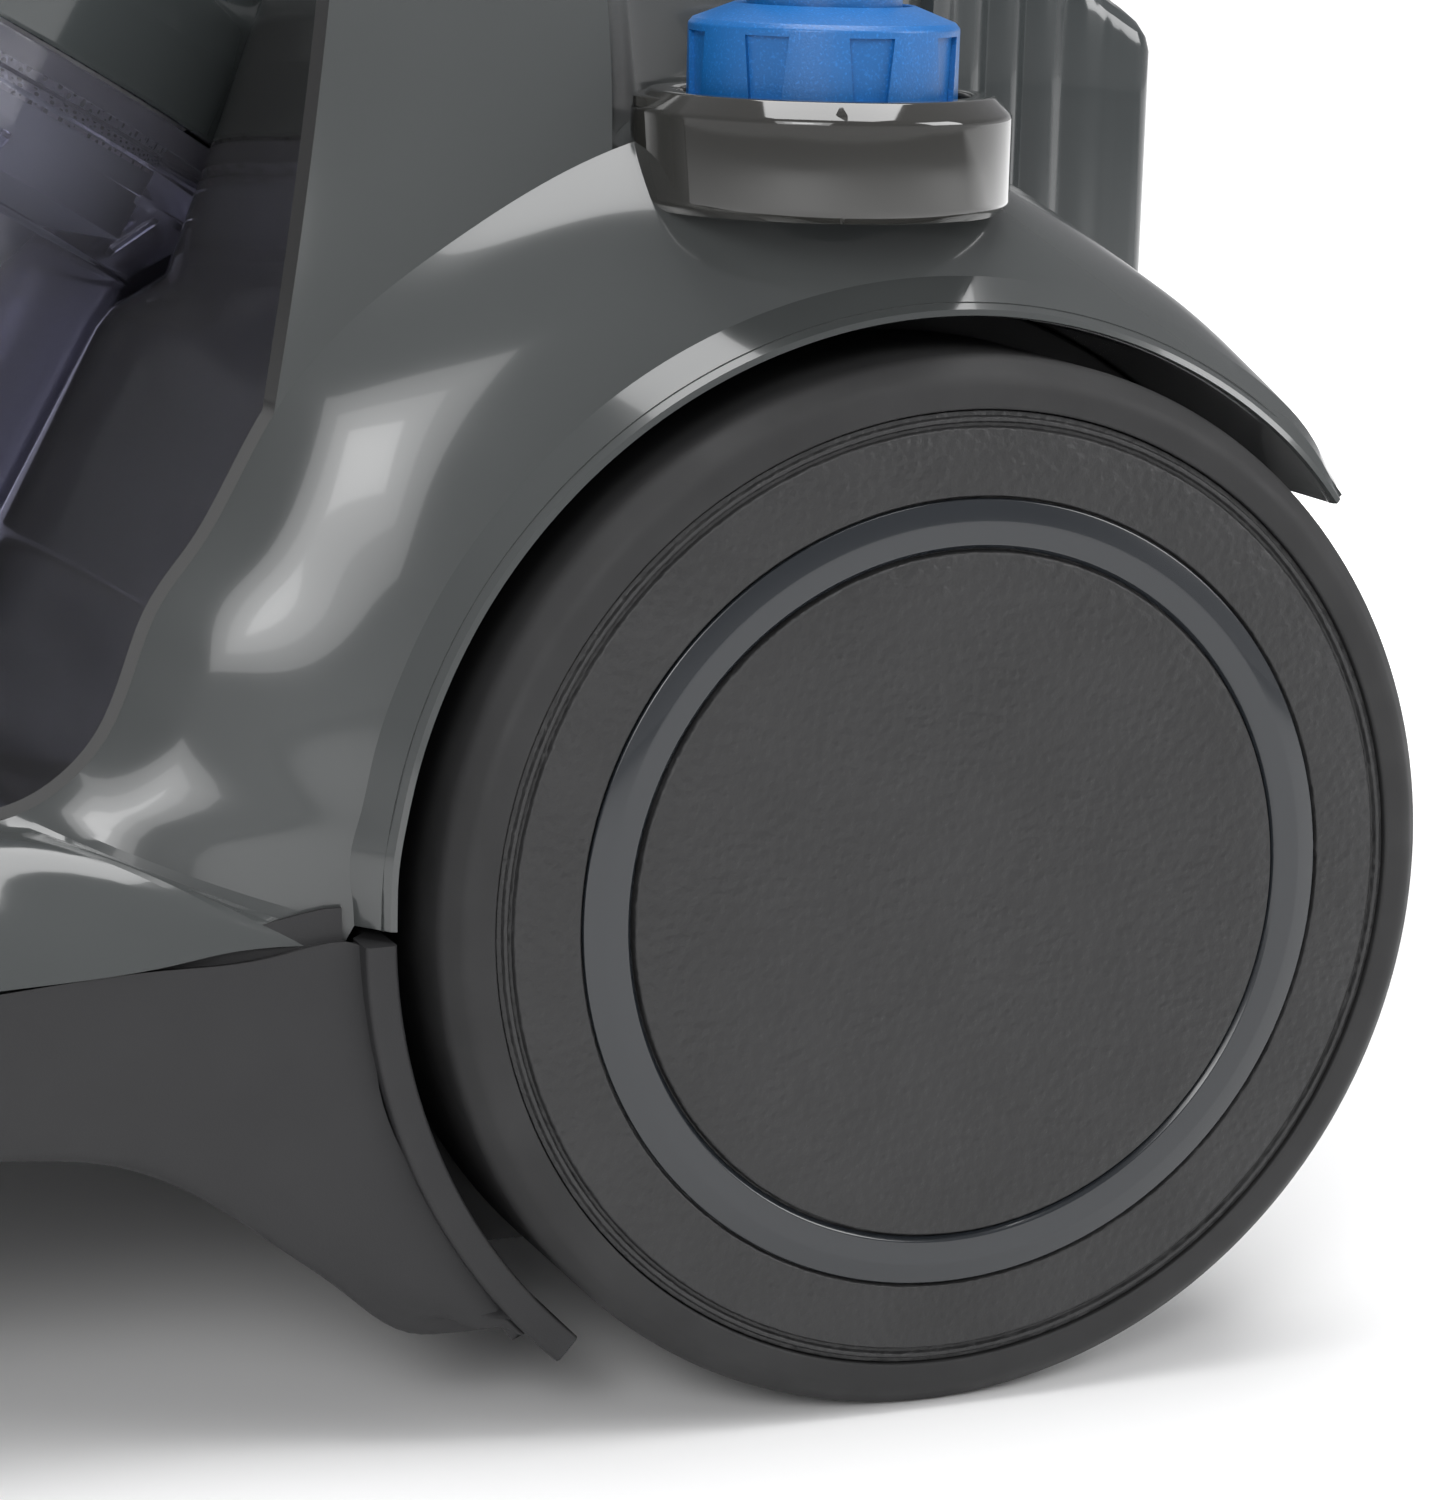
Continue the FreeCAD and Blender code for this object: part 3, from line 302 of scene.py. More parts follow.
class Paint:
    """A node material built up from one Principled shader."""

    def __init__(self, name, color, roughness, **sockets):
        self.material = bpy.data.materials.new(name)
        self.material.use_nodes = True
        self.tree = self.material.node_tree
        self.shader = self.tree.nodes["Principled BSDF"]
        self.shader.inputs["Base Color"].default_value = (*color, 1)
        self.shader.inputs["Roughness"].default_value = roughness
        self.color, self.roughness = color, roughness
        for key, value in sockets.items():
            self.shader.inputs[key.replace("_", " ")].default_value = value
        self.place = self.node("ShaderNodeTexCoord").outputs["Object"]
        self.height = None

    def node(self, kind, **settings):
        made = self.tree.nodes.new(kind)
        for key, value in settings.items():
            setattr(made, key, value)
        return made

    def link(self, out, into):
        self.tree.links.new(out, into)

    def noise(self, size, detail=2.0, rough=0.5, stretch=(1, 1, 1)):
        """Noise with features about size millimetres across, from 0 to 1."""
        vector = self.place
        if stretch != (1, 1, 1):
            mapping = self.node("ShaderNodeMapping")
            mapping.inputs["Scale"].default_value = stretch
            self.link(self.place, mapping.inputs["Vector"])
            vector = mapping.outputs["Vector"]
        texture = self.node("ShaderNodeTexNoise")
        self.link(vector, texture.inputs["Vector"])
        texture.inputs["Scale"].default_value = 1 / (size * MM)
        texture.inputs["Detail"].default_value = detail
        texture.inputs["Roughness"].default_value = rough
        return texture.outputs["Fac"]

    def cells(self, size, feature="F1", randomness=1.0):
        """Distance in a cell pattern with cells about size millimetres across."""
        texture = self.node("ShaderNodeTexVoronoi", feature=feature)
        self.link(self.place, texture.inputs["Vector"])
        texture.inputs["Scale"].default_value = 1 / (size * MM)
        texture.inputs["Randomness"].default_value = randomness
        return texture.outputs["Distance"]

    def span(self, value, low, high, to_low=0.0, to_high=1.0):
        """A value's range low to high, spread over another range."""
        spread = self.node("ShaderNodeMapRange")
        self.link(value, spread.inputs["Value"])
        for name, number in (("From Min", low), ("From Max", high), ("To Min", to_low),
                             ("To Max", to_high)):
            spread.inputs[name].default_value = number
        return spread.outputs["Result"]

    def bump(self, height, depth, strength=1.0):
        """Relief of depth millimetres; later reliefs stack on earlier ones."""
        made = self.node("ShaderNodeBump")
        made.inputs["Strength"].default_value = strength
        made.inputs["Distance"].default_value = depth * MM
        self.link(height, made.inputs["Height"])
        if self.height:
            self.link(self.height, made.inputs["Normal"])
        self.height = made.outputs["Normal"]
        self.link(self.height, self.shader.inputs["Normal"])
        return self

    def vary_roughness(self, value, spread):
        self.link(self.span(value, 0.3, 0.7, self.roughness - spread, self.roughness + spread),
                  self.shader.inputs["Roughness"])
        return self

    def vary_color(self, value, other, low=0.3, high=0.7):
        """Blends from the base colour to another as the value rises."""
        ramp = self.node("ShaderNodeValToRGB")
        ramp.color_ramp.elements[0].position = low
        ramp.color_ramp.elements[0].color = (*self.color, 1)
        ramp.color_ramp.elements[1].position = high
        ramp.color_ramp.elements[1].color = (*other, 1)
        self.link(value, ramp.inputs["Fac"])
        self.link(ramp.outputs["Color"], self.shader.inputs["Base Color"])
        return self


def gloss_plastic(name, color, roughness=0.1, ripple=0.012, coat=0.5):
    """Moulded high-gloss plastic: faint flow ripples, haze and hairline scuffs."""
    paint = Paint(name, color, roughness, Coat_Weight=coat, Coat_Roughness=0.04, IOR=1.5)
    paint.vary_roughness(paint.noise(34, 3), 0.035)
    deeper = tuple(c * 0.86 for c in color)
    paint.vary_color(paint.noise(60, 2), deeper, 0.35, 0.75)
    paint.bump(paint.noise(46, 1), ripple * 8, 0.35)
    paint.bump(paint.noise(0.9, 1, stretch=(0.15, 1, 1)), ripple * 0.25, 0.3)
    return paint.material


def grained_plastic(name, color, roughness=0.5, grain=1.1, depth=0.09, lighter=1.35):
    """Moulded plastic with a leather grain: soft raised cells with fine creases between them."""
    paint = Paint(name, color, roughness, Specular_IOR_Level=0.45)
    cell = paint.cells(grain, "SMOOTH_F1")
    fine = paint.noise(grain * 0.45, 3, 0.6)
    paint.bump(paint.span(cell, 0.1, 0.75, 1, 0), depth, 0.8)
    paint.bump(fine, depth * 0.7, 0.7)
    paint.vary_roughness(paint.noise(9, 4), 0.06)
    paint.vary_color(paint.noise(22, 4, 0.6), tuple(c * lighter for c in color))
    return paint.material


def matte_plastic(name, color, roughness=0.55, grain=0.35, depth=0.03):
    """Moulded plastic with a fine spark-eroded texture."""
    paint = Paint(name, color, roughness, Specular_IOR_Level=0.4)
    paint.bump(paint.noise(grain, 2, 0.6), depth, 0.7)
    paint.vary_roughness(paint.noise(14, 4), 0.06)
    paint.vary_color(paint.noise(30, 3), tuple(c * 1.22 for c in color))
    return paint.material


def rubber(name, color, roughness=0.62):
    """Rubber with a fine tooth and patchy wear."""
    paint = Paint(name, color, roughness, Specular_IOR_Level=0.35)
    paint.bump(paint.noise(0.5, 2), 0.02, 0.6)
    paint.vary_roughness(paint.noise(11, 5), 0.08)
    paint.vary_color(paint.noise(18, 4), tuple(c * 1.4 for c in color))
    return paint.material


def sparkle_plastic(name, color, roughness=0.42):
    """Blue plastic with a fine glittering texture."""
    paint = Paint(name, color, roughness, Specular_IOR_Level=0.55, Coat_Weight=0.12, Coat_Roughness=0.25)
    paint.bump(paint.noise(0.34, 1), 0.045, 0.9)
    paint.vary_color(paint.noise(0.45, 1), tuple(min(1, c * 1.5 + 0.01) for c in color), 0.55, 0.8)
    paint.vary_roughness(paint.noise(12, 3), 0.05)
    return paint.material


def clear_plastic(name, color, roughness=0.03):
    """Transparent moulded bin wall with a faint tint and slight haze."""
    paint = Paint(name, color, roughness, Transmission_Weight=0.94, IOR=1.45)
    paint.vary_roughness(paint.noise(40, 3), 0.02)
    paint.bump(paint.noise(28, 1), 0.05, 0.25)
    return paint.material


def metal(name, color, roughness=0.3, brushed=(1, 1, 1)):
    """Metal with a fine surface texture, drawn out along one way if brushed."""
    paint = Paint(name, color, roughness, Metallic=1.0)
    paint.bump(paint.noise(0.4, 2, stretch=brushed), 0.012, 0.5)
    paint.vary_roughness(paint.noise(10, 4), 0.08)
    paint.vary_color(paint.noise(25, 3), tuple(c * 0.8 for c in color))
    return paint.material


def felt(name, color):
    """Soft white filter felt."""
    paint = Paint(name, color, 0.95, Sheen_Weight=0.3)
    paint.bump(paint.noise(0.6, 4, 0.7), 0.25, 1.0)
    paint.vary_color(paint.noise(5, 5, 0.7), tuple(c * 0.78 for c in color))
    return paint.material


def perforated_steel(name):
    """Steel mesh: round holes in a tight pattern shown as pits, each painted near-black as painted shade
    inside the hole, with a bump for its depth.
    """
    paint = Paint(name, (0.42, 0.42, 0.44), 0.35, Metallic=0.9)
    pits = paint.cells(1.4, "F1", 0.0)
    # painted shade: the middle of each hole is painted near-black for the darkness seen through it
    paint.vary_color(paint.span(pits, 0.3, 0.42, 1, 0), (0.01, 0.01, 0.01), 0.45, 0.55)
    paint.bump(pits, 0.3, 0.8)
    return paint.material


SKIN = {
    "gunmetal_gloss": gloss_plastic("gunmetal_gloss", (0.054, 0.058, 0.058), 0.16),
    "housing_grey": gloss_plastic("housing_grey", (0.036, 0.042, 0.043), 0.16),
    "cap_gloss": gloss_plastic("cap_gloss", (0.05, 0.057, 0.058), 0.12),
    "pod_gloss": gloss_plastic("pod_gloss", (0.026, 0.0255, 0.023), 0.07, 0.006, 0.8),
    "cradle_black": gloss_plastic("cradle_black", (0.018, 0.018, 0.018), 0.12),
    "trim_gloss": gloss_plastic("trim_gloss", (0.013, 0.0155, 0.019), 0.2, 0.006),
    "matte_charcoal": matte_plastic("matte_charcoal", (0.0145, 0.0145, 0.0155)),
    "wheel_charcoal": grained_plastic("wheel_charcoal", (0.0165, 0.0165, 0.017), 0.45, 1.5, 0.3),
    "tyre_rubber": rubber("tyre_rubber", (0.0165, 0.0165, 0.017)),
    "soft_black": rubber("soft_black", (0.012, 0.012, 0.013), 0.7),
    "azure_plastic": sparkle_plastic("azure_plastic", (0.0, 0.105, 0.34)),
    "clear_bin": clear_plastic("clear_bin", (0.8, 0.8, 0.93)),
    "filter_white": felt("filter_white", (0.7, 0.7, 0.66)),
    "mesh_steel": perforated_steel("mesh_steel"),
    "cone_grey": matte_plastic("cone_grey", (0.2, 0.21, 0.22), 0.4),
    "steel": metal("steel", (0.55, 0.55, 0.56), 0.28, (0.05, 1, 1)),
    "motor_metal": metal("motor_metal", (0.5, 0.5, 0.51), 0.42),
    "copper_core": metal("copper_core", (0.35, 0.17, 0.09), 0.5, (0.2, 1, 1)),
    "board_green": matte_plastic("board_green", (0.015, 0.11, 0.045), 0.35, 1.2, 0.05),
}

slot_of = {entry["node"]: entry["material_slot"] for entry in frame["record"]["subparts"]}
for node_name, node_object in frame["nodes"].items():
    node_object.data.materials.clear()
    node_object.data.materials.append(SKIN[slot_of[node_name]])


# ---- rear wheels ----

def make_wheel(side, label):
    """The tyre, the grained disc with its double groove, and the gloss trim band of one wheel."""
    body = label + "_wheel"
    tyre = rounded([(75.2, 100, 0), (75.2, 98, 0.5), (80, 98, 2), (83, 101.5, 3), (83, 135.6, 3.6),
                    (79.6, 139.6, 3.2), (75.2, 139.7, 0.5), (75.2, 136, 0)])
    tread = turned(label + "_tyre_skin", tyre, body, "tyre_rubber", 192, on_axle(side))
    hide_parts(label + "_tyre")
    disc = rounded([(0, 136.4, 0), (75.0, 136.4, 0), (75.0, 138.9, 0.2), (74.3, 139.0, 0.15),
                    (74.0, 139.7, 0.25), (73.5, 139.7, 0.25), (73.2, 139.0, 0.15),
                    (72.7, 139.0, 0.15), (72.4, 139.9, 0.4), (62.3, 140.5, 0.3),
                    (62.0, 139.3, 0.1), (53.9, 139.3, 0.1), (53.7, 140.9, 0.5), (50, 141.1, 3),
                    (34, 140.9, 8), (0, 140.8, 0)])
    cover = turned(label + "_wheel_disc", disc, body, "wheel_charcoal", 192, on_axle(side),
                   smooth_angle=28)
    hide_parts(label + "_wheel_cover")
    band = rounded([(54.2, 139.0, 0), (61.8, 139.0, 0), (61.8, 140.3, 0.4), (58.5, 140.95, 2),
                    (54.9, 140.7, 0.5), (54.2, 140.0, 0.3)])
    trim = turned(label + "_trim_band", band, body, "trim_gloss", 192, on_axle(side))
    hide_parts(label + "_wheel_trim")


for wheel_side, wheel_label in ((1, "left"), (-1, "right")):
    make_wheel(wheel_side, wheel_label)


# ---- upper shell ----

def bulged(low, high, out, amount):
    """A five-point section from low to high, pushed out in a direction at its middle."""
    low, high, out = Vector(low), Vector(high), Vector(out).normalized()
    return [tuple(low.lerp(high, t) + out * (4 * amount * t * (1 - t))) for t in (0, 0.25, 0.5, 0.75, 1)]


# Crease of the fender: angle round the axle, radius, x.
CREASE = [(139, 92.5, 125), (132, 95, 120), (125, 97.5, 116), (117, 100, 112), (108, 103.5, 109),
          (97, 110, 107), (82, 117.5, 107.5), (68, 121.2, 108.5), (53, 122.6, 110), (37, 124.9, 111),
          (26, 124.2, 111)]


def seam_height(y):
    """Height of the joint between chassis and shell: level behind, falling gently to the nose."""
    return SEAM_REAR if y > 28 else SEAM_REAR - (28 - y) * 0.0614


NOSE = [  # seam x and y; edge x, y and z; bulge, outward direction
    ((128.5, 16), (111, -26, 97.5), 3.2, (1, 0, 0.8)), ((129.5, -5), (111, -45, 96.6), 4, (1, 0, 0.8)),
    ((130, -32), (111, -66, 96.4), 4.5, (1, 0, 0.8)), ((129, -66), (110, -90, 97.2), 5, (1, -0.1, 0.8)),
    ((125, -100), (105, -112, 102), 6, (1, -0.3, 0.7)), ((115, -133), (95, -128, 110), 8, (1, -0.7, 0.5)),
    ((96, -161), (80, -140, 118), 11, (0.8, -1, 0.5)), ((70, -181), (60, -147.5, 123), 14, (0.4, -1, 0.5)),
    ((36, -193), (32, -151, 126), 16, (0.15, -1, 0.5)), ((0, -197.2), (0, -152, 127), 17, (0, -1, 0.5))]


def flank_sections():
    """Sections of the long outer strip, from the fender's tail over the wheel and forward to the nose."""
    sections = []
    for angle, radius, x in CREASE:
        a = math.radians(angle)
        bulge = 0.4 if angle > 120 else 1.2 if angle > 100 else 2.4
        lip = min(LIP_OUTER, radius - 1.8)
        sections.append(bulged(polar(angle, lip, LIP_OUTER_X if angle < 130 else LIP_OUTER_X + 1.5),
                               polar(angle, radius, x), (0.9, -math.cos(a), math.sin(a)), bulge))
    for angle, edge in ((17, (111, -2.2, 126.5)), (9.5, (111, -9, 109.5)), (3, (111, -17.6, 100.8)),
                        (-1.35, (111, -22, 98.6))):
        a = math.radians(angle)
        sections.append(bulged(polar(angle, LIP_OUTER, LIP_OUTER_X), edge,
                               (0.9, -math.cos(a), math.sin(a)), 2.8))
    for (x, y), edge, bulge, out in NOSE:
        sections.append(bulged((x, y, seam_height(y)), edge, out, bulge))
    return sections


def rim_of(sheet, column):
    """One edge of a sheet as a list of points."""
    return [tuple(row[column]) for row in sheet]


flank = smooth_sheet(flank_sections(), 220, 22)


def lip_sheet():
    """The bright flared lip round the wheel arch, from its tail down to the seam."""
    rows = []
    for i, point in enumerate(rim_of(flank, 0)):
        x, y, z = point
        radius = math.hypot(y - AXLE[0], z - AXLE[1])
        angle = math.degrees(math.atan2(z - AXLE[1], AXLE[0] - y))
        if radius > LIP_OUTER + 0.6 or angle < -1.5:
            break
        drop = min(1.0, (radius - 87) / 7)
        inner = LIP_INNER + (radius - LIP_OUTER) * 0.2
        rows.append([point, polar(angle, radius - 2.2 * drop, x + 2.6),
                     polar(angle, inner + 0.9, LIP_INNER_X - 0.5),
                     polar(angle, inner, LIP_INNER_X - 0.2), polar(angle, inner - 0.25, LIP_INNER_X - 1.2),
                     polar(angle, inner - 0.25, LIP_INNER_X - 6), polar(angle, inner - 0.2, WELL_X + 1)])
    return rows


def coons(front, back, left, right):
    """A smooth patch inside four boundary curves; front and back run from left to right."""
    front, back, left, right = (np.asarray(curve, dtype=float) for curve in (front, back, left, right))
    u = np.linspace(0, 1, len(front))[None, :, None]
    v = np.linspace(0, 1, len(left))[:, None, None]
    sides = (1 - u) * left[:, None, :] + u * right[:, None, :]
    ends = (1 - v) * front[None, :, :] + v * back[None, :, :]
    near = (1 - v) * ((1 - u) * front[0] + u * front[-1])
    corners = near + v * ((1 - u) * back[0] + u * back[-1])
    return sides + ends - corners


def snapped(rows, starts):
    """Rows whose first points are moved onto given ones; the shift fades out along each row."""
    rows = np.array(rows, dtype=float)
    fade = np.linspace(1, 0, rows.shape[1])[None, :, None]
    return rows + (np.asarray(starts, dtype=float)[:, None, :] - rows[:, :1, :]) * fade


def edge_angle(point):
    """Angle of a point round the rear axle, in degrees."""
    return math.degrees(math.atan2(point[2] - AXLE[1], AXLE[0] - point[1]))


edge = rim_of(flank, -1)
angles = [edge_angle(p) for p in edge]
niche_row = next(i for i, angle in enumerate(angles) if angle < 67)
corner_row = next(i for i, angle in enumerate(angles) if angle < 37.2)


def shoulder():
    """The leaning shoulder above the fender's crease, from the niche forward to the cradle edge."""
    tops = [(83.4, 74, 240), (83.8, 66, 239.7), (84.5, 57, 239), (85.5, 46, 237.5), (87.5, 33, 232.5)]
    feet = [(67, 121.3, 108.6), (60, 121.9, 109.3), (53, 122.6, 110), (45, 123.8, 110.6),
            (37.2, 124.9, 111)]
    sections = []
    for (angle, radius, x), top in zip(feet, tops):
        low, high = Vector(polar(angle, radius, x)), Vector(top)
        sections.append([tuple(low.lerp(high, t) + Vector((4.0 * 4 * t * (1 - t), -1.6 * t * (1 - t), 0)))
                         for t in (0, .2, .4, .6, .8, 1)])
    rows = smooth_sheet(sections, corner_row - niche_row + 1, 26)
    return snapped(rows, edge[niche_row:corner_row + 1])


shoulder_rows = shoulder()
NICHE_FEET = [(94, 76.5, 197), (83.5, 88, 199), (80, 101.5, 199), (79, 114, 197), (74, 127, 190),
              (65, 140, 181)]
NICHE_TOPS = [(82.6, 80, 240.2), (80.8, 91, 240), (79.3, 102, 239.4), (77.4, 114, 237.4),
              (72.6, 127, 233.6), (65, 140, 229)]


def niche_wall():
    """The wall that curves in behind the control pod and out along the rear column."""
    first = [tuple(p) for p in shoulder_rows[0][::5]]
    count = len(first)
    columns = [first]
    for foot, top in zip(NICHE_FEET, NICHE_TOPS):
        low, high = Vector(foot), Vector(top)
        columns.append([tuple(low.lerp(high, k / (count - 1))) for k in range(count)])
    sheet = smooth_sheet(columns, 60, 26)
    sheet[0] = shoulder_rows[0]
    return sheet


niche_rows = niche_wall()


def ledge():
    """The top of the fender inboard of its crease, back to the tail."""
    outer = np.array(edge[:niche_row + 1][::-1], dtype=float)
    count = len(outer)
    feet = [tuple(niche_rows[i][0]) for i in range(0, 60, 6)] + [tuple(niche_rows[-1][0])]
    feet += [(58, 151, 173), (53.5, 163, 164), (51.6, 176, 154), (51, 187.5, 146)]
    inner = cubic(feet, count)
    inner[0] = outer[0]
    return [[tuple(a + (b - a) * t - np.array([0, 0, 6 * t * (1 - t)])) for t in np.linspace(0, 1, 12)]
            for a, b in zip(outer, inner)]


ledge_rows = ledge()


def deck():
    """The top between the shoulders, from the bin's round opening back to the rear column."""
    left = np.array([row[-1] for row in shoulder_rows[::-1]] + [row[-1] for row in niche_rows[1:]])
    right = left * np.array([-1, 1, 1])
    arc = []
    for degrees in range(24, 157, 6):
        a = math.radians(degrees)
        x, reach = 76.5 * math.cos(a), 76.5 * math.sin(a)
        y = BIN_FOOT[0] + reach / math.cos(LEAN) + (238.5 - BIN_FOOT[1]) * math.tan(LEAN)
        arc.append((x, y, 240.5 - (x / 40) ** 2))
    front = cubic([tuple(left[0])] + [p for p in arc if p[1] > 33] + [tuple(right[0])], 49)
    back = [(65 - 130 * k / 48, 140, 229 + 3.5 * math.sin(math.pi * k / 48)) for k in range(49)]
    return coons(front, back, left, right)


def rear_panels():
    """The back of the shell beside the rear column, from the fender tails down to the seam."""
    sections = []
    for x, top, depth in ((51, 146, 187.5), (60, 146, 188.5), (72, 145, 189), (84, 144.5, 188),
                          (89.5, 144, 184), (90.5, 143, 178)):
        sections.append([(x, depth, top), (x, depth + 3, top - 3), (x, depth + 4.4, top - 24),
                         (x, depth + 5, SEAM_REAR)])
    return smooth_sheet(sections, 24, 16)


def make_upper_shell():
    """The glossy upper casing in one skin, open under the pods, at the inlet and at the release."""
    grids = both([(flank, False), (lip_sheet(), True), (shoulder_rows, False), (niche_rows, True),
                  (ledge_rows, True), (rear_panels(), True)])
    grids.append((deck(), False))

    def under_pod(x, y, z):
        return math.hypot(abs(x) - POD[0], y - POD[1]) < 26.5 and 187 < z < 215

    def at_inlet(x, y, z):
        return math.hypot(x, z - INLET_Z) < 24.6 and y < -150

    def at_release(x, y, z):
        return abs(x) < 17.8 and 84.2 < y < 105.8 and z > 220

    holes = [under_pod, at_inlet, at_release]
    shell = shell_piece("upper_shell_skin", grids, "chassis", "gunmetal_gloss", 2.2, 12, holes)
    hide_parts("upper_shell")


make_upper_shell()


# ---- bin cradle ----

def lean_of(point):
    """A point's place in the bin's leaning frame."""
    x, dy, dz = point[0], point[1] - BIN_FOOT[0], point[2] - BIN_FOOT[1]
    return x, dy * math.cos(LEAN) - dz * math.sin(LEAN), dy * math.sin(LEAN) + dz * math.cos(LEAN)


def cradle_radius(along):
    """Inner radius of the saddle: close round the wall, wider round the collar and cap."""
    return 68.5 + 7 * min(1, max(0, (along - 73) / 10))


def saddle_rows():
    """The dark saddle: from the shell's edge in to the tube behind the bin, and down to its floor."""
    rim = [tuple(p) for p in shoulder_rows[-1][::-1]][:-1] + edge[corner_row:]
    rows = []
    for point in rim:
        x, y, along = lean_of(point)
        if point[1] < -112:
            break
        attach = 52 - (59 - min(y, 59)) * 0.8
        radius = cradle_radius(along)
        spokes = [math.radians(attach + (90 - attach) * k / 5) for k in range(6)]
        tube = [(radius * math.cos(a), radius * math.sin(a)) for a in spokes]
        middle = ((x + tube[0][0]) / 2, (y + tube[0][1]) / 2 - 2)
        section = [(x, y), middle] + tube
        rows.append(cubic([lean_point(a, b, max(along, -36.5)) for a, b in section], 34))
        rows[-1][0] = point
    return rows


def nose_floor_rows():
    """The flat of the saddle in front, between the nose's edge and the bin's foot."""
    rim = [p for p in edge[corner_row:] if p[1] < -111.5]
    rows = []
    for k, point in enumerate(rim):
        angle = math.radians(-15 - 75 * k / (len(rim) - 1))
        foot = Vector(lean_point(68.5 * math.cos(angle), 68.5 * math.sin(angle), -36.5))
        rows.append([tuple(Vector(point).lerp(foot, t)) for t in np.linspace(0, 1, 6)])
    return rows


def make_cradle():
    """The dark saddle that the bin stands in."""
    grids = both([(saddle_rows(), True), (nose_floor_rows(), True)])
    floor = []
    for k in range(97):
        a = 2 * math.pi * k / 96
        floor.append([lean_point(r * math.cos(a), r * math.sin(a), -36.5) for r in (17, 40, 66, 69.5)])
    grids.append((floor, True))
    piece = shell_piece("bin_saddle", grids, "chassis", "cradle_black", 2.0)
    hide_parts("bin_cradle")


make_cradle()


# ---- chassis ----

LOWER = [  # top edge x, y, z; bottom edge y, z and x
    (polar(-44.0, 93.6, 133), (48.4, 17.6, 132)), (polar(-39, 93.6, 133.2), (40, BELLY, 131)),
    (polar(-32, 93.6, 133.2), (32, 17.9, 130.5)), (polar(-23, 93.6, 133), (21.5, 25.4, 129.5)),
    (polar(-13, 93.6, 132.6), (11, 33.6, 129)), (polar(-1.6, 93.6, 131.6), (-1, 42.4, 128.5)),
    ((130, 11, None), (-10.5, 47.0, 128)), ((129.3, -5, None), (-22, 49.6, 128.5)),
    ((130, -32, None), (-42, 50.9, 129)), ((129, -66, None), (-70, 50.9, 127.5)),
    ((125, -100, None), (-101, 50.9, 123)), ((115, -133, None), (-131, 50.9, 113)),
    ((96, -161, None), (-157, 51.2, 94)), ((70, -181, None), (-176, 52.2, 68)),
    ((36, -193, None), (-188, 53.4, 35)), ((0, -197.2, None), (-192, 54, 0))]


def chassis_flank():
    """The matte lower flank, from the seam down to its rounded bottom edge and in under the belly."""
    sections = []
    for top, (low_y, low_z, low_x) in LOWER:
        high = Vector(top if top[2] is not None else (top[0], top[1], seam_height(top[1]) - 0.6))
        low = Vector((low_x, low_y, low_z))
        beside = low_x > 60
        inward = Vector((-1, 0.35, 0)) if beside else Vector((-0.2, 1, 0))
        side = [high.lerp(low, t) + Vector((1.2 * 4 * t * (1 - t), 0, 0)) * beside for t in (0, 0.35, 0.7)]
        turn = [low + Vector((0, 0, 3.4)), low + inward * 1.1 + Vector((0, 0, 0.9)), low + inward * 4.2]
        sections.append([tuple(p) for p in side + turn])
    return smooth_sheet(sections, 150, 22)


def chassis_belly(flank_rows):
    """The underside from the flank's turned edge in to the middle."""
    rows = []
    for row in flank_rows:
        x, y, z = row[-1]
        rows.append([(x * (1 - t), y + 6 * t * (x / 130), z - 0.4 * math.sin(math.pi * t))
                     for t in np.linspace(0, 1, 14)])
    return rows


def arch_band(side):
    """The flat raised band round the front of the wheel, on the chassis."""
    bm = bmesh.new()
    profile = rounded([(88.8, 92, 0), (88.8, 135.0, 0.7), (93.7, 135.0, 0.9), (93.7, 128.5, 0.4),
                       (91.5, 126, 0), (91.5, 92, 0)])
    add_turned(bm, profile, 60, lambda x, y, z: (side * z, AXLE[0] - x, AXLE[1] - y), start=1.42,
               sweep=46.7)
    corners = bm.verts[:]
    bm.faces.new(corners[:len(profile)])
    bm.faces.new(corners[-len(profile):])
    solid_piece("left_arch_band" if side > 0 else "right_arch_band", bm, "chassis", "matte_charcoal")


def make_well(side, label):
    """The upright disc inboard of a wheel, cut off at the belly and at the back of the casing."""
    profile = rounded([(9, 89.6, 0), (88.3, 89.6, 0.5), (88.3, 91.9, 0.5), (9, 91.9, 0)])
    bm = bmesh.new()
    add_turned(bm, profile, 96, on_axle(side))
    weld(bm)
    for point, keep in (((0, 0, BELLY + 1), (0, 0, 1)), ((0, 189, 0), (0, -1, 0))):
        bmesh.ops.bisect_plane(bm, geom=bm.verts[:] + bm.edges[:] + bm.faces[:],
                               plane_co=Vector(point) * MM, plane_no=keep, clear_inner=True)
        bmesh.ops.holes_fill(bm, edges=bm.edges)
    solid_piece(label + "_well_wall", bm, "chassis", "matte_charcoal")


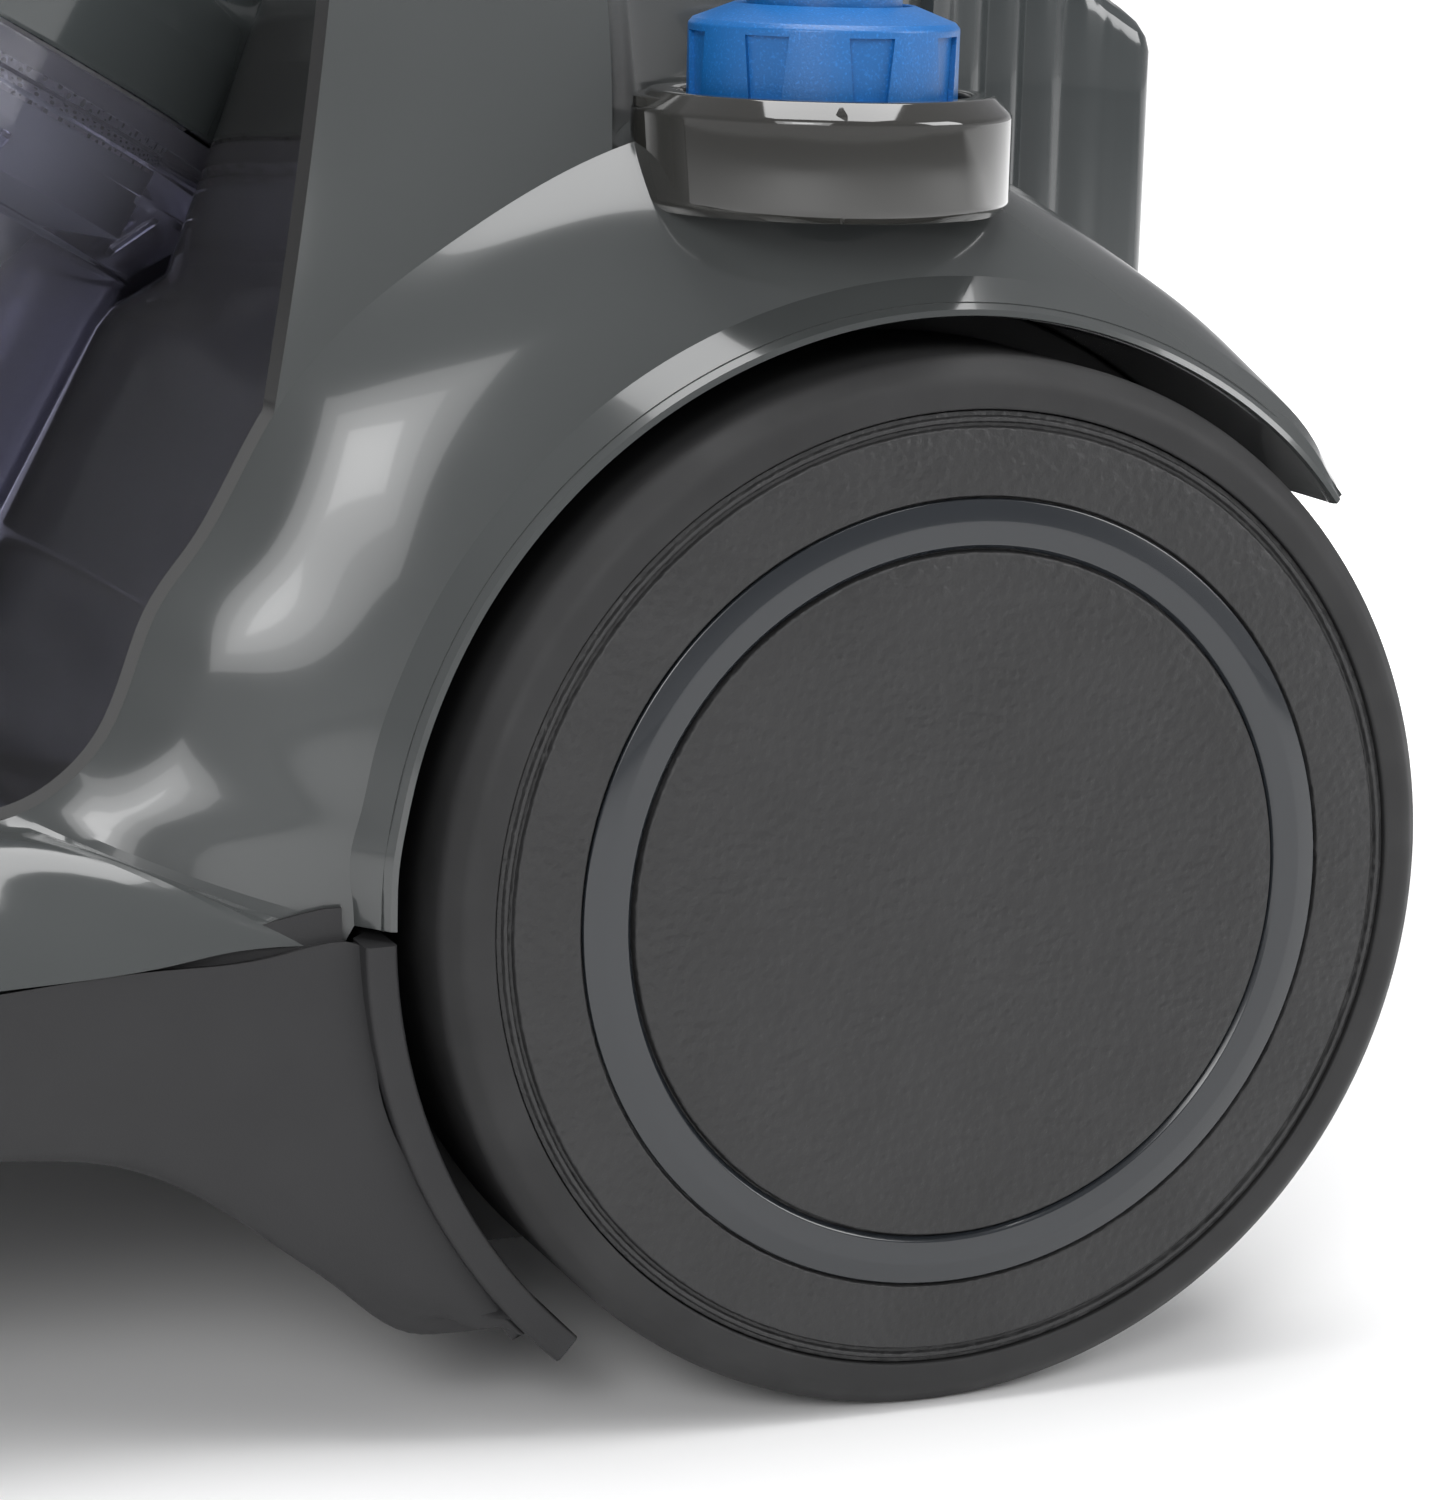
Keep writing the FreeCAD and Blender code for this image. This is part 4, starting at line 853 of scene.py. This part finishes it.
def make_chassis():
    """The matte lower casing: flanks and belly, rear tub, arch bands and well walls."""
    rows = chassis_flank()
    tongue = []
    for x, y, z in (row[0] for row in rows):
        if y < 23.3:
            beside = x > 60
            tongue.append([(x, y, z), (x - 2 * beside, y + 1.5 * (not beside), z - 0.3),
                           (x - 2.6 * beside, y + 2 * (not beside), z + 4.5)])
    grids = both([(rows, True), (chassis_belly(rows), True), (tongue, False)])
    piece = shell_piece("chassis_skin", grids, "chassis", "matte_charcoal", 2.4, 40)
    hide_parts("chassis")
    bm = bmesh.new()
    half = rounded([(0, 30, 0), (91, 30, 3), (91, 176, 14), (80, 194, 16), (0, 194, 0)], closed=False,
                   steps=6)
    outline = [(x, y) for x, y in half] + [(-x, y) for x, y in half[::-1] if x > 0.01]
    levels = [(0.955, BELLY + 0.4), (0.985, BELLY + 1.6), (1.0, BELLY + 5), (1.0, 50),
              (1.0, SEAM_REAR - 0.7)]
    tub = [[(x * scale, 110 + (y - 110) * scale, z) for x, y in outline] for scale, z in levels]
    add_grid(bm, tub, closed_columns=True)
    bm.verts.ensure_lookup_table()
    bm.faces.new([bm.verts[i] for i in range(len(outline))])
    bmesh.ops.recalc_face_normals(bm, faces=bm.faces)
    bm.faces.ensure_lookup_table()
    tub_piece = new_object("chassis_tub", bm, "chassis", "matte_charcoal")
    modify(tub_piece, "SOLIDIFY", thickness=2.4 * MM, offset=-1)
    for side in (1, -1):
        arch_band(side)
        make_well(side, "left" if side > 0 else "right")


make_chassis()


# ---- rear column ----

DOOR_X, DOOR_LOW, DOOR_HIGH = 45.4, 93.6, 187.4


def column_outline(flutes=0.8):
    """Plan of the rear column: S-shaped fluted sides, rounded corners and a flat back."""
    side = cubic([(65, 140), (58, 151), (53.8, 163), (51.8, 174), (51.2, 183)], 90)
    points = []
    for x, y in side:
        phase = (y - 140) / 43
        depth = flutes * math.sin(phase * 2 * math.pi * 5) * math.sin(math.pi * min(1, phase * 1.05))
        points.append((x + depth, y))
    back = rounded([(51.2, 183, 0), (51.2, 188.2, 2.2), (0, 188.2, 0)], closed=False, steps=6)[1:-1]
    return points + back + [(DOOR_X, 188.2), (24, 188.2), (0, 188.2)]


def column_top(y):
    """Height of the column's top: it falls towards the back."""
    return 229.5 - (y - 140) * 0.30 - max(0, y - 166) * 0.30


def make_rear_column():
    """The fluted column behind the deck, with an opening for the exhaust door."""
    outline = column_outline()
    whole = outline + [(-x, y) for x, y in outline[::-1] if x > 0.01]
    rows = [[(x, y, z) for x, y in whole] for z in (81.2, DOOR_LOW, 125, 156, DOOR_HIGH, 198)]
    for inset, drop in ((0, 3.4), (0.35, 1.9), (1.2, 0.8), (2.6, 0.15), (5, 0)):
        ring = []
        for x, y in whole:
            back = y - inset * max(0.0, (y - 150) / 38)
            ring.append((x * (1 - inset / 52), back, column_top(back) - drop + 2.6 * (1 - (x / 66) ** 2)))
        rows.append(ring)
    last = rows[-1]
    for shrink in (0.7, 0.4, 0):
        rows.append([(x * shrink, y, column_top(y) + 2.6 * (1 - (x * shrink / 66) ** 2))
                     for x, y, z in last])

    def door(x, y, z):
        return y > 188 and abs(x) < DOOR_X and DOOR_LOW < z < DOOR_HIGH

    piece = shell_piece("rear_column", [(rows, True)], "chassis", "housing_grey", 2.4, 24, [door])
    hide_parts("rear_housing")


make_rear_column()


def make_exhaust_door():
    """A hinged grille: a rounded frame with sloping louvres."""
    frame_outline = rounded([(-44.8, 94.4, 3), (44.8, 94.4, 3), (44.8, 186.8, 3), (-44.8, 186.8, 3)])
    opening = rounded([(-37, 102, 2), (37, 102, 2), (37, 179, 2), (-37, 179, 2)])
    bm = bmesh.new()
    rings = []
    for outline, depth in ((opening, 187.6), (frame_outline, 187.6), (frame_outline, 189.7),
                           (opening, 190.2)):
        rings.append([(x, depth, z) for x, z in outline])
    add_grid(bm, rings, closed_rows=True, closed_columns=True)
    for k in range(11):
        z = 105.0 + 7.1 * k
        slat = [(187.7, z - 2.2), (190.0, z + 1.6), (190.0, z + 2.9), (187.7, z - 0.9)]
        prism(bm, slat, -37.4, 37.4, lambda a, b, h: (h, a, b))
    for x in (-12.4, 12.4):
        prism(bm, [(x - 0.9, 187.6), (x + 0.9, 187.6), (x + 0.9, 190), (x - 0.9, 190)], 101.6, 179.4)
    piece = solid_piece("exhaust_grille", bm, "exhaust_door", "matte_charcoal", 30)
    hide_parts("exhaust_door")


make_exhaust_door()


# ---- control pods, knob and buttons ----

def make_pod(side, label):
    """A control cup on the shoulder, with a fairing that tapers forward along the fender."""
    cup = rounded([(POD_BORE, 188, 0), (POD_BORE, POD_RIM, 0.6), (26.2, POD_RIM, 1.0),
                   (POD_RADIUS, 200.9, 1.4), (POD_RADIUS, 187.4, 1.6),
                   (27.4, POD_BASE, 0.8), (14.5, POD_BASE, 0), (14.5, 188, 0)])
    piece = turned(label + "_pod_cup", cup, "chassis", "pod_gloss", 128,
                   upright(side * POD[0], POD[1]), smooth_angle=30)
    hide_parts(label + "_control_pod")
    bm = bmesh.new()
    rows = []
    for t in np.linspace(0, 1, 26):
        y = POD[1] - 8 - 21 * t
        half = max(0.6, 27.8 * (1 - t) ** 0.62)
        x = POD[0] - 3.5 * t
        top = POD_RIM - 0.2 - 0.8 * t
        low = 186.2 + 15.2 * t ** 0.8
        outline = rounded([(x - half, low, 0), (x + half, low, 0.8), (x + half, top - 1.6, 0.5),
                           (x + half * 0.9, top, 0.5), (x - half, top, 0)], closed=False, steps=3)
        rows.append([(side * px, y, pz) for px, pz in outline])
    add_grid(bm, rows, closed_columns=True)
    weld(bm)
    bmesh.ops.holes_fill(bm, edges=bm.edges)
    fairing = solid_piece(label + "_pod_fairing", bm, "chassis", "pod_gloss", 30)
    bore = [(0, 180), (27, 180), (27, 210), (0, 210)]
    carve(fairing, [cutter_turned(bore, upright(side * POD[0], POD[1]), 128)])


def trapezoid(bm, angle, radius, place):
    """A cutter for one of the knob's tapered finger recesses."""
    a = math.radians(angle)
    spoke, along = Vector((math.cos(a), math.sin(a), 0)), Vector((-math.sin(a), math.cos(a), 0))
    corners = []
    for depth in (-1.1, 3.0):
        for width, height in ((-3.6, 212.6), (3.6, 212.6), (2.7, 203.2), (-2.7, 203.2)):
            point = spoke * (radius + depth) + along * width
            corners.append(bm.verts.new(Vector(place(point.x, point.y, height)) * MM))
    for face in ((0, 1, 2, 3), (7, 6, 5, 4), (0, 4, 5, 1), (1, 5, 6, 2), (2, 6, 7, 3), (3, 7, 4, 0)):
        bm.faces.new([corners[i] for i in face])


def make_knob():
    """The power knob with eight tapered recesses, and the button in its middle."""
    place = upright(POD[0], POD[1])
    profile = rounded([(13.1, 192, 0), (KNOB_RADIUS, 192, 0.4), (KNOB_RADIUS, 213.6, 0.7),
                       (19.9, 214.4, 0.5), (13.4, 216.9, 0.4), (13.1, 216, 0)])
    knob = turned("power_knob_skin", profile, "power_knob", "azure_plastic", 144, place)
    bm = bmesh.new()
    for k in range(8):
        trapezoid(bm, -3 + 45 * k, KNOB_RADIUS, place)
    carve(knob, [solid_of(bm)])
    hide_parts("power_knob")
    cap = rounded([(0, 195.4, 0), (BUTTON_RADIUS, 195.4, 0.4), (BUTTON_RADIUS, 217.2, 0),
                   (BUTTON_RADIUS, 221.2, 1.3), (9.4, 222.6, 1.2), (4, 222.2, 3), (0, 222.0, 0)])
    button = turned("power_button_skin", cap, "power_button", "azure_plastic", 96, place)
    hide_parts("power_button")


def make_rewind_button():
    """The cord-rewind button: a dished cap with the same recesses as the knob."""
    place = upright(-POD[0], POD[1])
    profile = rounded([(0, 194.9, 0), (20.4, 194.9, 0.4), (20.6, 210.4, 0.8), (19.2, 212.4, 1.4),
                       (15, 213.4, 2), (11, 212.2, 3), (0, 211.2, 0)])
    piece = turned("rewind_button_skin", profile, "rewind_button", "azure_plastic", 128, place)
    bm = bmesh.new()
    for k in range(8):
        trapezoid(bm, 22.5 + 45 * k, KNOB_RADIUS, lambda x, y, z: place(x, y, z - 5.6))
    carve(piece, [solid_of(bm)])
    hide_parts("rewind_button")


for pod_side, pod_label in ((1, "left"), (-1, "right")):
    make_pod(pod_side, pod_label)
make_knob()
make_rewind_button()


# ---- dust bin and lid ----

def make_bin():
    """The clear bin: a walled cup that widens into a stepped collar with ribs."""
    outer = [(20, BIN_BASE, 0), (58, BIN_BASE, 2), (63.6, -30.6, 3), (64.6, -22, 4),
             (BIN_RADIUS, 40, 0), (BIN_RADIUS, 79.6, 1.4), (71.6, 90.6, 1.2),
             (COLLAR_RADIUS, 92, 0.6), (COLLAR_RADIUS, 96.6, 0.5), (71.2, 97.2, 0.3),
             (71.2, 98.6, 0.3), (COLLAR_RADIUS, 99.2, 0.4), (COLLAR_RADIUS, COLLAR_TOP, 0.4)]
    inner = [(69.6, COLLAR_TOP, 0.3), (69.6, 92.4, 0.8), (62.6, 81.0, 1.2), (62.6, -22, 2), (60, -28, 3),
             (55, -31.4, 2), (20, -31.4, 0)]
    wall = turned("dust_bin_wall", rounded(outer + inner), "dust_bin", "clear_bin", 160, lean_point,
                  smooth_angle=30)
    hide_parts("dust_bin")
    for k in range(12):
        a = math.radians(15 + 30 * k)
        bm = bmesh.new()
        outline = rounded([(66.0, 82.0, 0), (70.8, 89.6, 0), (70.8, 91.2, 0.4), (69.2, 90.0, 0.4),
                           (65.4, 83.6, 0)])
        half = 0.9

        def placed(x, y, z):
            return lean_point(x * math.cos(a) - z * math.sin(a), x * math.sin(a) + z * math.cos(a), y)

        prism(bm, outline, -half, half, placed)
        solid_piece("collar_rib_%d" % (k + 1), bm, "dust_bin", "clear_bin")


def make_cap():
    """The glossy lid cap: a skirted dome."""
    outer = [(71.6, 105.2, 0), (72, 105.8, 0.5), (72, 117, 1), (70.6, 124, 5), (64, 131, 8),
             (52, 135.4, 10), (36, 137.2, 12), (0, 137.4, 0)]
    inner = [(0, 134.6, 0), (36, 134.4, 8), (52, 132.6, 8), (62.4, 128.6, 6), (67.6, 122.6, 4),
             (69.2, 116, 1), (69.2, 105.2, 0)]
    cap = turned("bin_cap_skin", rounded(outer + inner), "bin_lid", "cap_gloss", 160, lean_point,
                 smooth_angle=40)
    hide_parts("bin_cap")


def make_handle():
    """An arched carry handle with a soft section, a grip pad underhand and a button let in at the front."""
    path = cubic([(-45, 130), (-44.5, 142), (-40, 155), (-30, 166.5), (-12, 170.5), (12, 170.5),
                  (30, 166.5), (40, 155), (44.5, 142), (45, 130)], 72)
    rows = []
    for i, (y, along) in enumerate(path):
        ahead = Vector(path[min(i + 1, 71)]) - Vector(path[max(i - 1, 0)])
        tangent = ahead.normalized()
        out = Vector((tangent.y, -tangent.x)) * -1
        swell = 1 + 0.35 * abs(2 * i / 71 - 1) ** 4
        section = rounded([(-12.6, -5.2, 4.6), (12.6, -5.2, 4.6), (12.6, 4.6, 3.4), (-12.6, 4.6, 3.4)])
        rows.append([lean_point(x, y + out.x * h * swell, along + out.y * h * swell) for x, h in section])
    bm = bmesh.new()
    add_grid(bm, rows, closed_columns=True)
    bmesh.ops.holes_fill(bm, edges=bm.edges)
    handle = solid_piece("carry_handle_arch", bm, "bin_lid", "cap_gloss")
    pocket = bmesh.new()
    prism(pocket, rounded([(-6.4, -34.4, 1), (6.4, -34.4, 1), (6.4, -19.6, 1), (-6.4, -19.6, 1)]), 165, 182,
          lean_point)
    carve(handle, [solid_of(pocket)])
    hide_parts("carry_handle")
    pad = bmesh.new()
    outline = rounded([(-9, -15, 3), (9, -15, 3), (9, 34, 3), (-9, 34, 3)])
    middle = Vector((0, 9.5))
    levels = [(1.0, 174.6), (1.0, 176.2), (0.97, 176.9), (0.9, 177.3)]
    rings = [[lean_point(x * s, middle.y + (y - middle.y) * s, h) for x, y in outline]
             for s, h in levels]
    add_grid(pad, rings, closed_columns=True)
    bmesh.ops.holes_fill(pad, edges=pad.edges)
    for k in range(7):
        y = -9.5 + 6.3 * k
        bar = rounded([(-7, y - 1.1, 0.9), (7, y - 1.1, 0.9), (7, y + 1.1, 0.9), (-7, y + 1.1, 0.9)])
        prism(pad, bar, 176.6, 177.9, lean_point)
    piece = solid_piece("grip_pad", pad, "bin_lid", "soft_black")
    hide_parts("handle_grip")


def soft_button(name, node, body, half_x, y_range, levels, place):
    """A pressed-in button with a rounded rim and a dished top."""
    low, high = y_range
    middle, half_y = (low + high) / 2, (high - low) / 2
    bm = bmesh.new()
    rows = []
    for scale, height in levels:
        outline = rounded([(-half_x, -half_y, 1.6), (half_x, -half_y, 1.6), (half_x, half_y, 1.6),
                           (-half_x, half_y, 1.6)])
        rows.append([place(x * scale, middle + y * scale, height) for x, y in outline])
    add_grid(bm, rows, closed_columns=True)
    bmesh.ops.holes_fill(bm, edges=bm.edges)
    piece = solid_piece(name, bm, body, "azure_plastic", 50)
    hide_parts(node)


def make_release():
    """The bin's release button in the deck, in a thin raised frame."""
    soft_button("bin_button", "bin_release_button", "bin_release_button", 16, (86, 104),
                ((1, 236.8), (1, 242.6), (0.96, 243.5), (0.86, 243.8), (0.5, 243.2), (0.1, 243.0)),
                lambda x, y, z: (x, y, z))
    inner = rounded([(-16.4, 85.6, 1.8), (16.4, 85.6, 1.8), (16.4, 104.4, 1.8), (-16.4, 104.4, 1.8)])
    outer = rounded([(-20.4, 81.6, 4), (20.4, 81.6, 4), (20.4, 108.4, 4), (-20.4, 108.4, 4)])
    lifted = rounded([(-19.4, 82.6, 4), (19.4, 82.6, 4), (19.4, 107.4, 4), (-19.4, 107.4, 4)])
    bm = bmesh.new()
    levels = ((inner, 236), (outer, 236), (outer, 240.6), (lifted, 242.2), (inner, 241.4))
    rings = [[(x, y, z) for x, y in ring] for ring, z in levels]
    add_grid(bm, rings, closed_rows=True, closed_columns=True)
    solid_piece("release_frame", bm, "chassis", "cap_gloss", 40)


make_bin()
make_cap()
make_handle()
make_release()
soft_button("lid_button", "lid_release_button", "lid_release_button", 6, (-34, -20),
            ((1, 172), (1, 177.2), (0.94, 178.2), (0.8, 178.4), (0.5, 178.0), (0.1, 177.9)), lean_point)


# ---- hose inlet ----

def make_inlet():
    """The ring that the hose end slides into."""
    def place(x, y, z):
        return x, -z, INLET_Z + y

    ring = rounded([(19, 184, 0), (19, 198.4, 0.8), (20.4, 200, 0.8), (25.4, 200, 1.2), (26.4, 198.6, 0.8),
                    (26.4, 196.4, 0), (23.4, 196.4, 0), (23.4, 184, 0)])
    piece = turned("hose_inlet_ring", ring, "chassis", "soft_black", 128, place, smooth_angle=30)
    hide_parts("hose_inlet")


make_inlet()


# ---- stage, lights and camera ----

def make_stage():
    """A plain pale flat floor whose emission is painted light: it glows more the farther back it lies along
    the view, so its far part reads as a white backdrop.
    """
    bm = bmesh.new()
    paint = Paint("stage_white", (0.9, 0.9, 0.9), 0.75)
    paint.vary_color(paint.noise(400, 2), (0.885, 0.885, 0.885))
    # painted light: the floor's emission rises from 0 to 0.9 with distance along (-0.92, 0.38), away from
    # the camera, so the far floor glows white while the floor near the machine keeps its shade
    reach = paint.node("ShaderNodeVectorMath", operation="DOT_PRODUCT")
    reach.inputs[1].default_value = (-0.92, 0.38, 0)
    paint.link(paint.place, reach.inputs[0])
    painted_floor_glow = paint.span(reach.outputs["Value"], 0.2, 0.75, 0.0, 0.9)
    paint.shader.inputs["Emission Color"].default_value = (1, 1, 1, 1)
    paint.link(painted_floor_glow, paint.shader.inputs["Emission Strength"])
    grid = [[(x, y, 0) for x in np.linspace(-9000, 9000, 5)] for y in np.linspace(-9000, 9000, 5)]
    add_grid(bm, grid)
    mesh = bpy.data.meshes.new("floor")
    bm.to_mesh(mesh)
    bm.free()
    floor = bpy.data.objects.new("floor", mesh)
    mesh.materials.append(paint.material)
    bpy.context.scene.collection.objects.link(floor)


def add_panel(name, place, target, size, power, color=(1, 1, 1)):
    """A large soft light aimed at a point; places are metres."""
    data = bpy.data.lights.new(name, "AREA")
    data.shape = "RECTANGLE"
    data.size, data.size_y = size
    data.energy = power
    data.color = color
    lamp = bpy.data.objects.new(name, data)
    lamp.location = place
    lamp.rotation_euler = (Vector(target) - Vector(place)).to_track_quat("-Z", "Y").to_euler()
    bpy.context.scene.collection.objects.link(lamp)


def make_world():
    """Pale round the horizon and dim overhead, so that the panels stand out in the gloss."""
    world = bpy.data.worlds.new("studio")
    world.use_nodes = True
    tree = world.node_tree
    place = tree.nodes.new("ShaderNodeTexCoord")
    split = tree.nodes.new("ShaderNodeSeparateXYZ")
    ramp = tree.nodes.new("ShaderNodeValToRGB")
    ramp.color_ramp.elements[0].position = 0.03
    ramp.color_ramp.elements[0].color = (0.62, 0.62, 0.63, 1)
    ramp.color_ramp.elements[1].position = 0.22
    ramp.color_ramp.elements[1].color = (0.3, 0.3, 0.31, 1)
    tree.links.new(place.outputs["Generated"], split.inputs["Vector"])
    tree.links.new(split.outputs["Z"], ramp.inputs["Fac"])
    tree.links.new(ramp.outputs["Color"], tree.nodes["Background"].inputs["Color"])
    tree.nodes["Background"].inputs["Strength"].default_value = 1.0
    bpy.context.scene.world = world


def make_studio():
    """Floor, surroundings and soft panels; the nested key panels make one soft-edged highlight."""
    make_stage()
    make_world()
    add_panel("top_panel", (0.1, 0.2, 2.2), (0, 0, 0.1), (1.6, 1.6), 42)
    for size, power in ((0.45, 5), (0.8, 9), (1.2, 12)):
        add_panel("key_panel", (1.7, -1.0, 1.05), (0, 0, 0.15), (size, size), power)
    add_panel("rear_panel", (1.2, 1.9, 1.2), (0, 0, 0.15), (1.0, 1.2), 22)
    bpy.context.scene.view_settings.view_transform = "Standard"


def make_camera():
    """The camera that looks at the left rear wheel."""
    data = bpy.data.cameras.new("camera")
    data.lens = CAMERA_LENS
    data.sensor_width = 36
    data.clip_start, data.clip_end = 0.01, 60
    camera = bpy.data.objects.new("camera", data)
    camera.location = CAMERA_PLACE
    rotation = Vector(CAMERA_AIM).to_track_quat("-Z", "Y").to_matrix()
    rotation = rotation @ Matrix.Rotation(math.radians(CAMERA_ROLL), 3, "Z")
    camera.rotation_euler = rotation.to_euler()
    bpy.context.scene.collection.objects.link(camera)
    bpy.context.scene.camera = camera


make_studio()
make_camera()
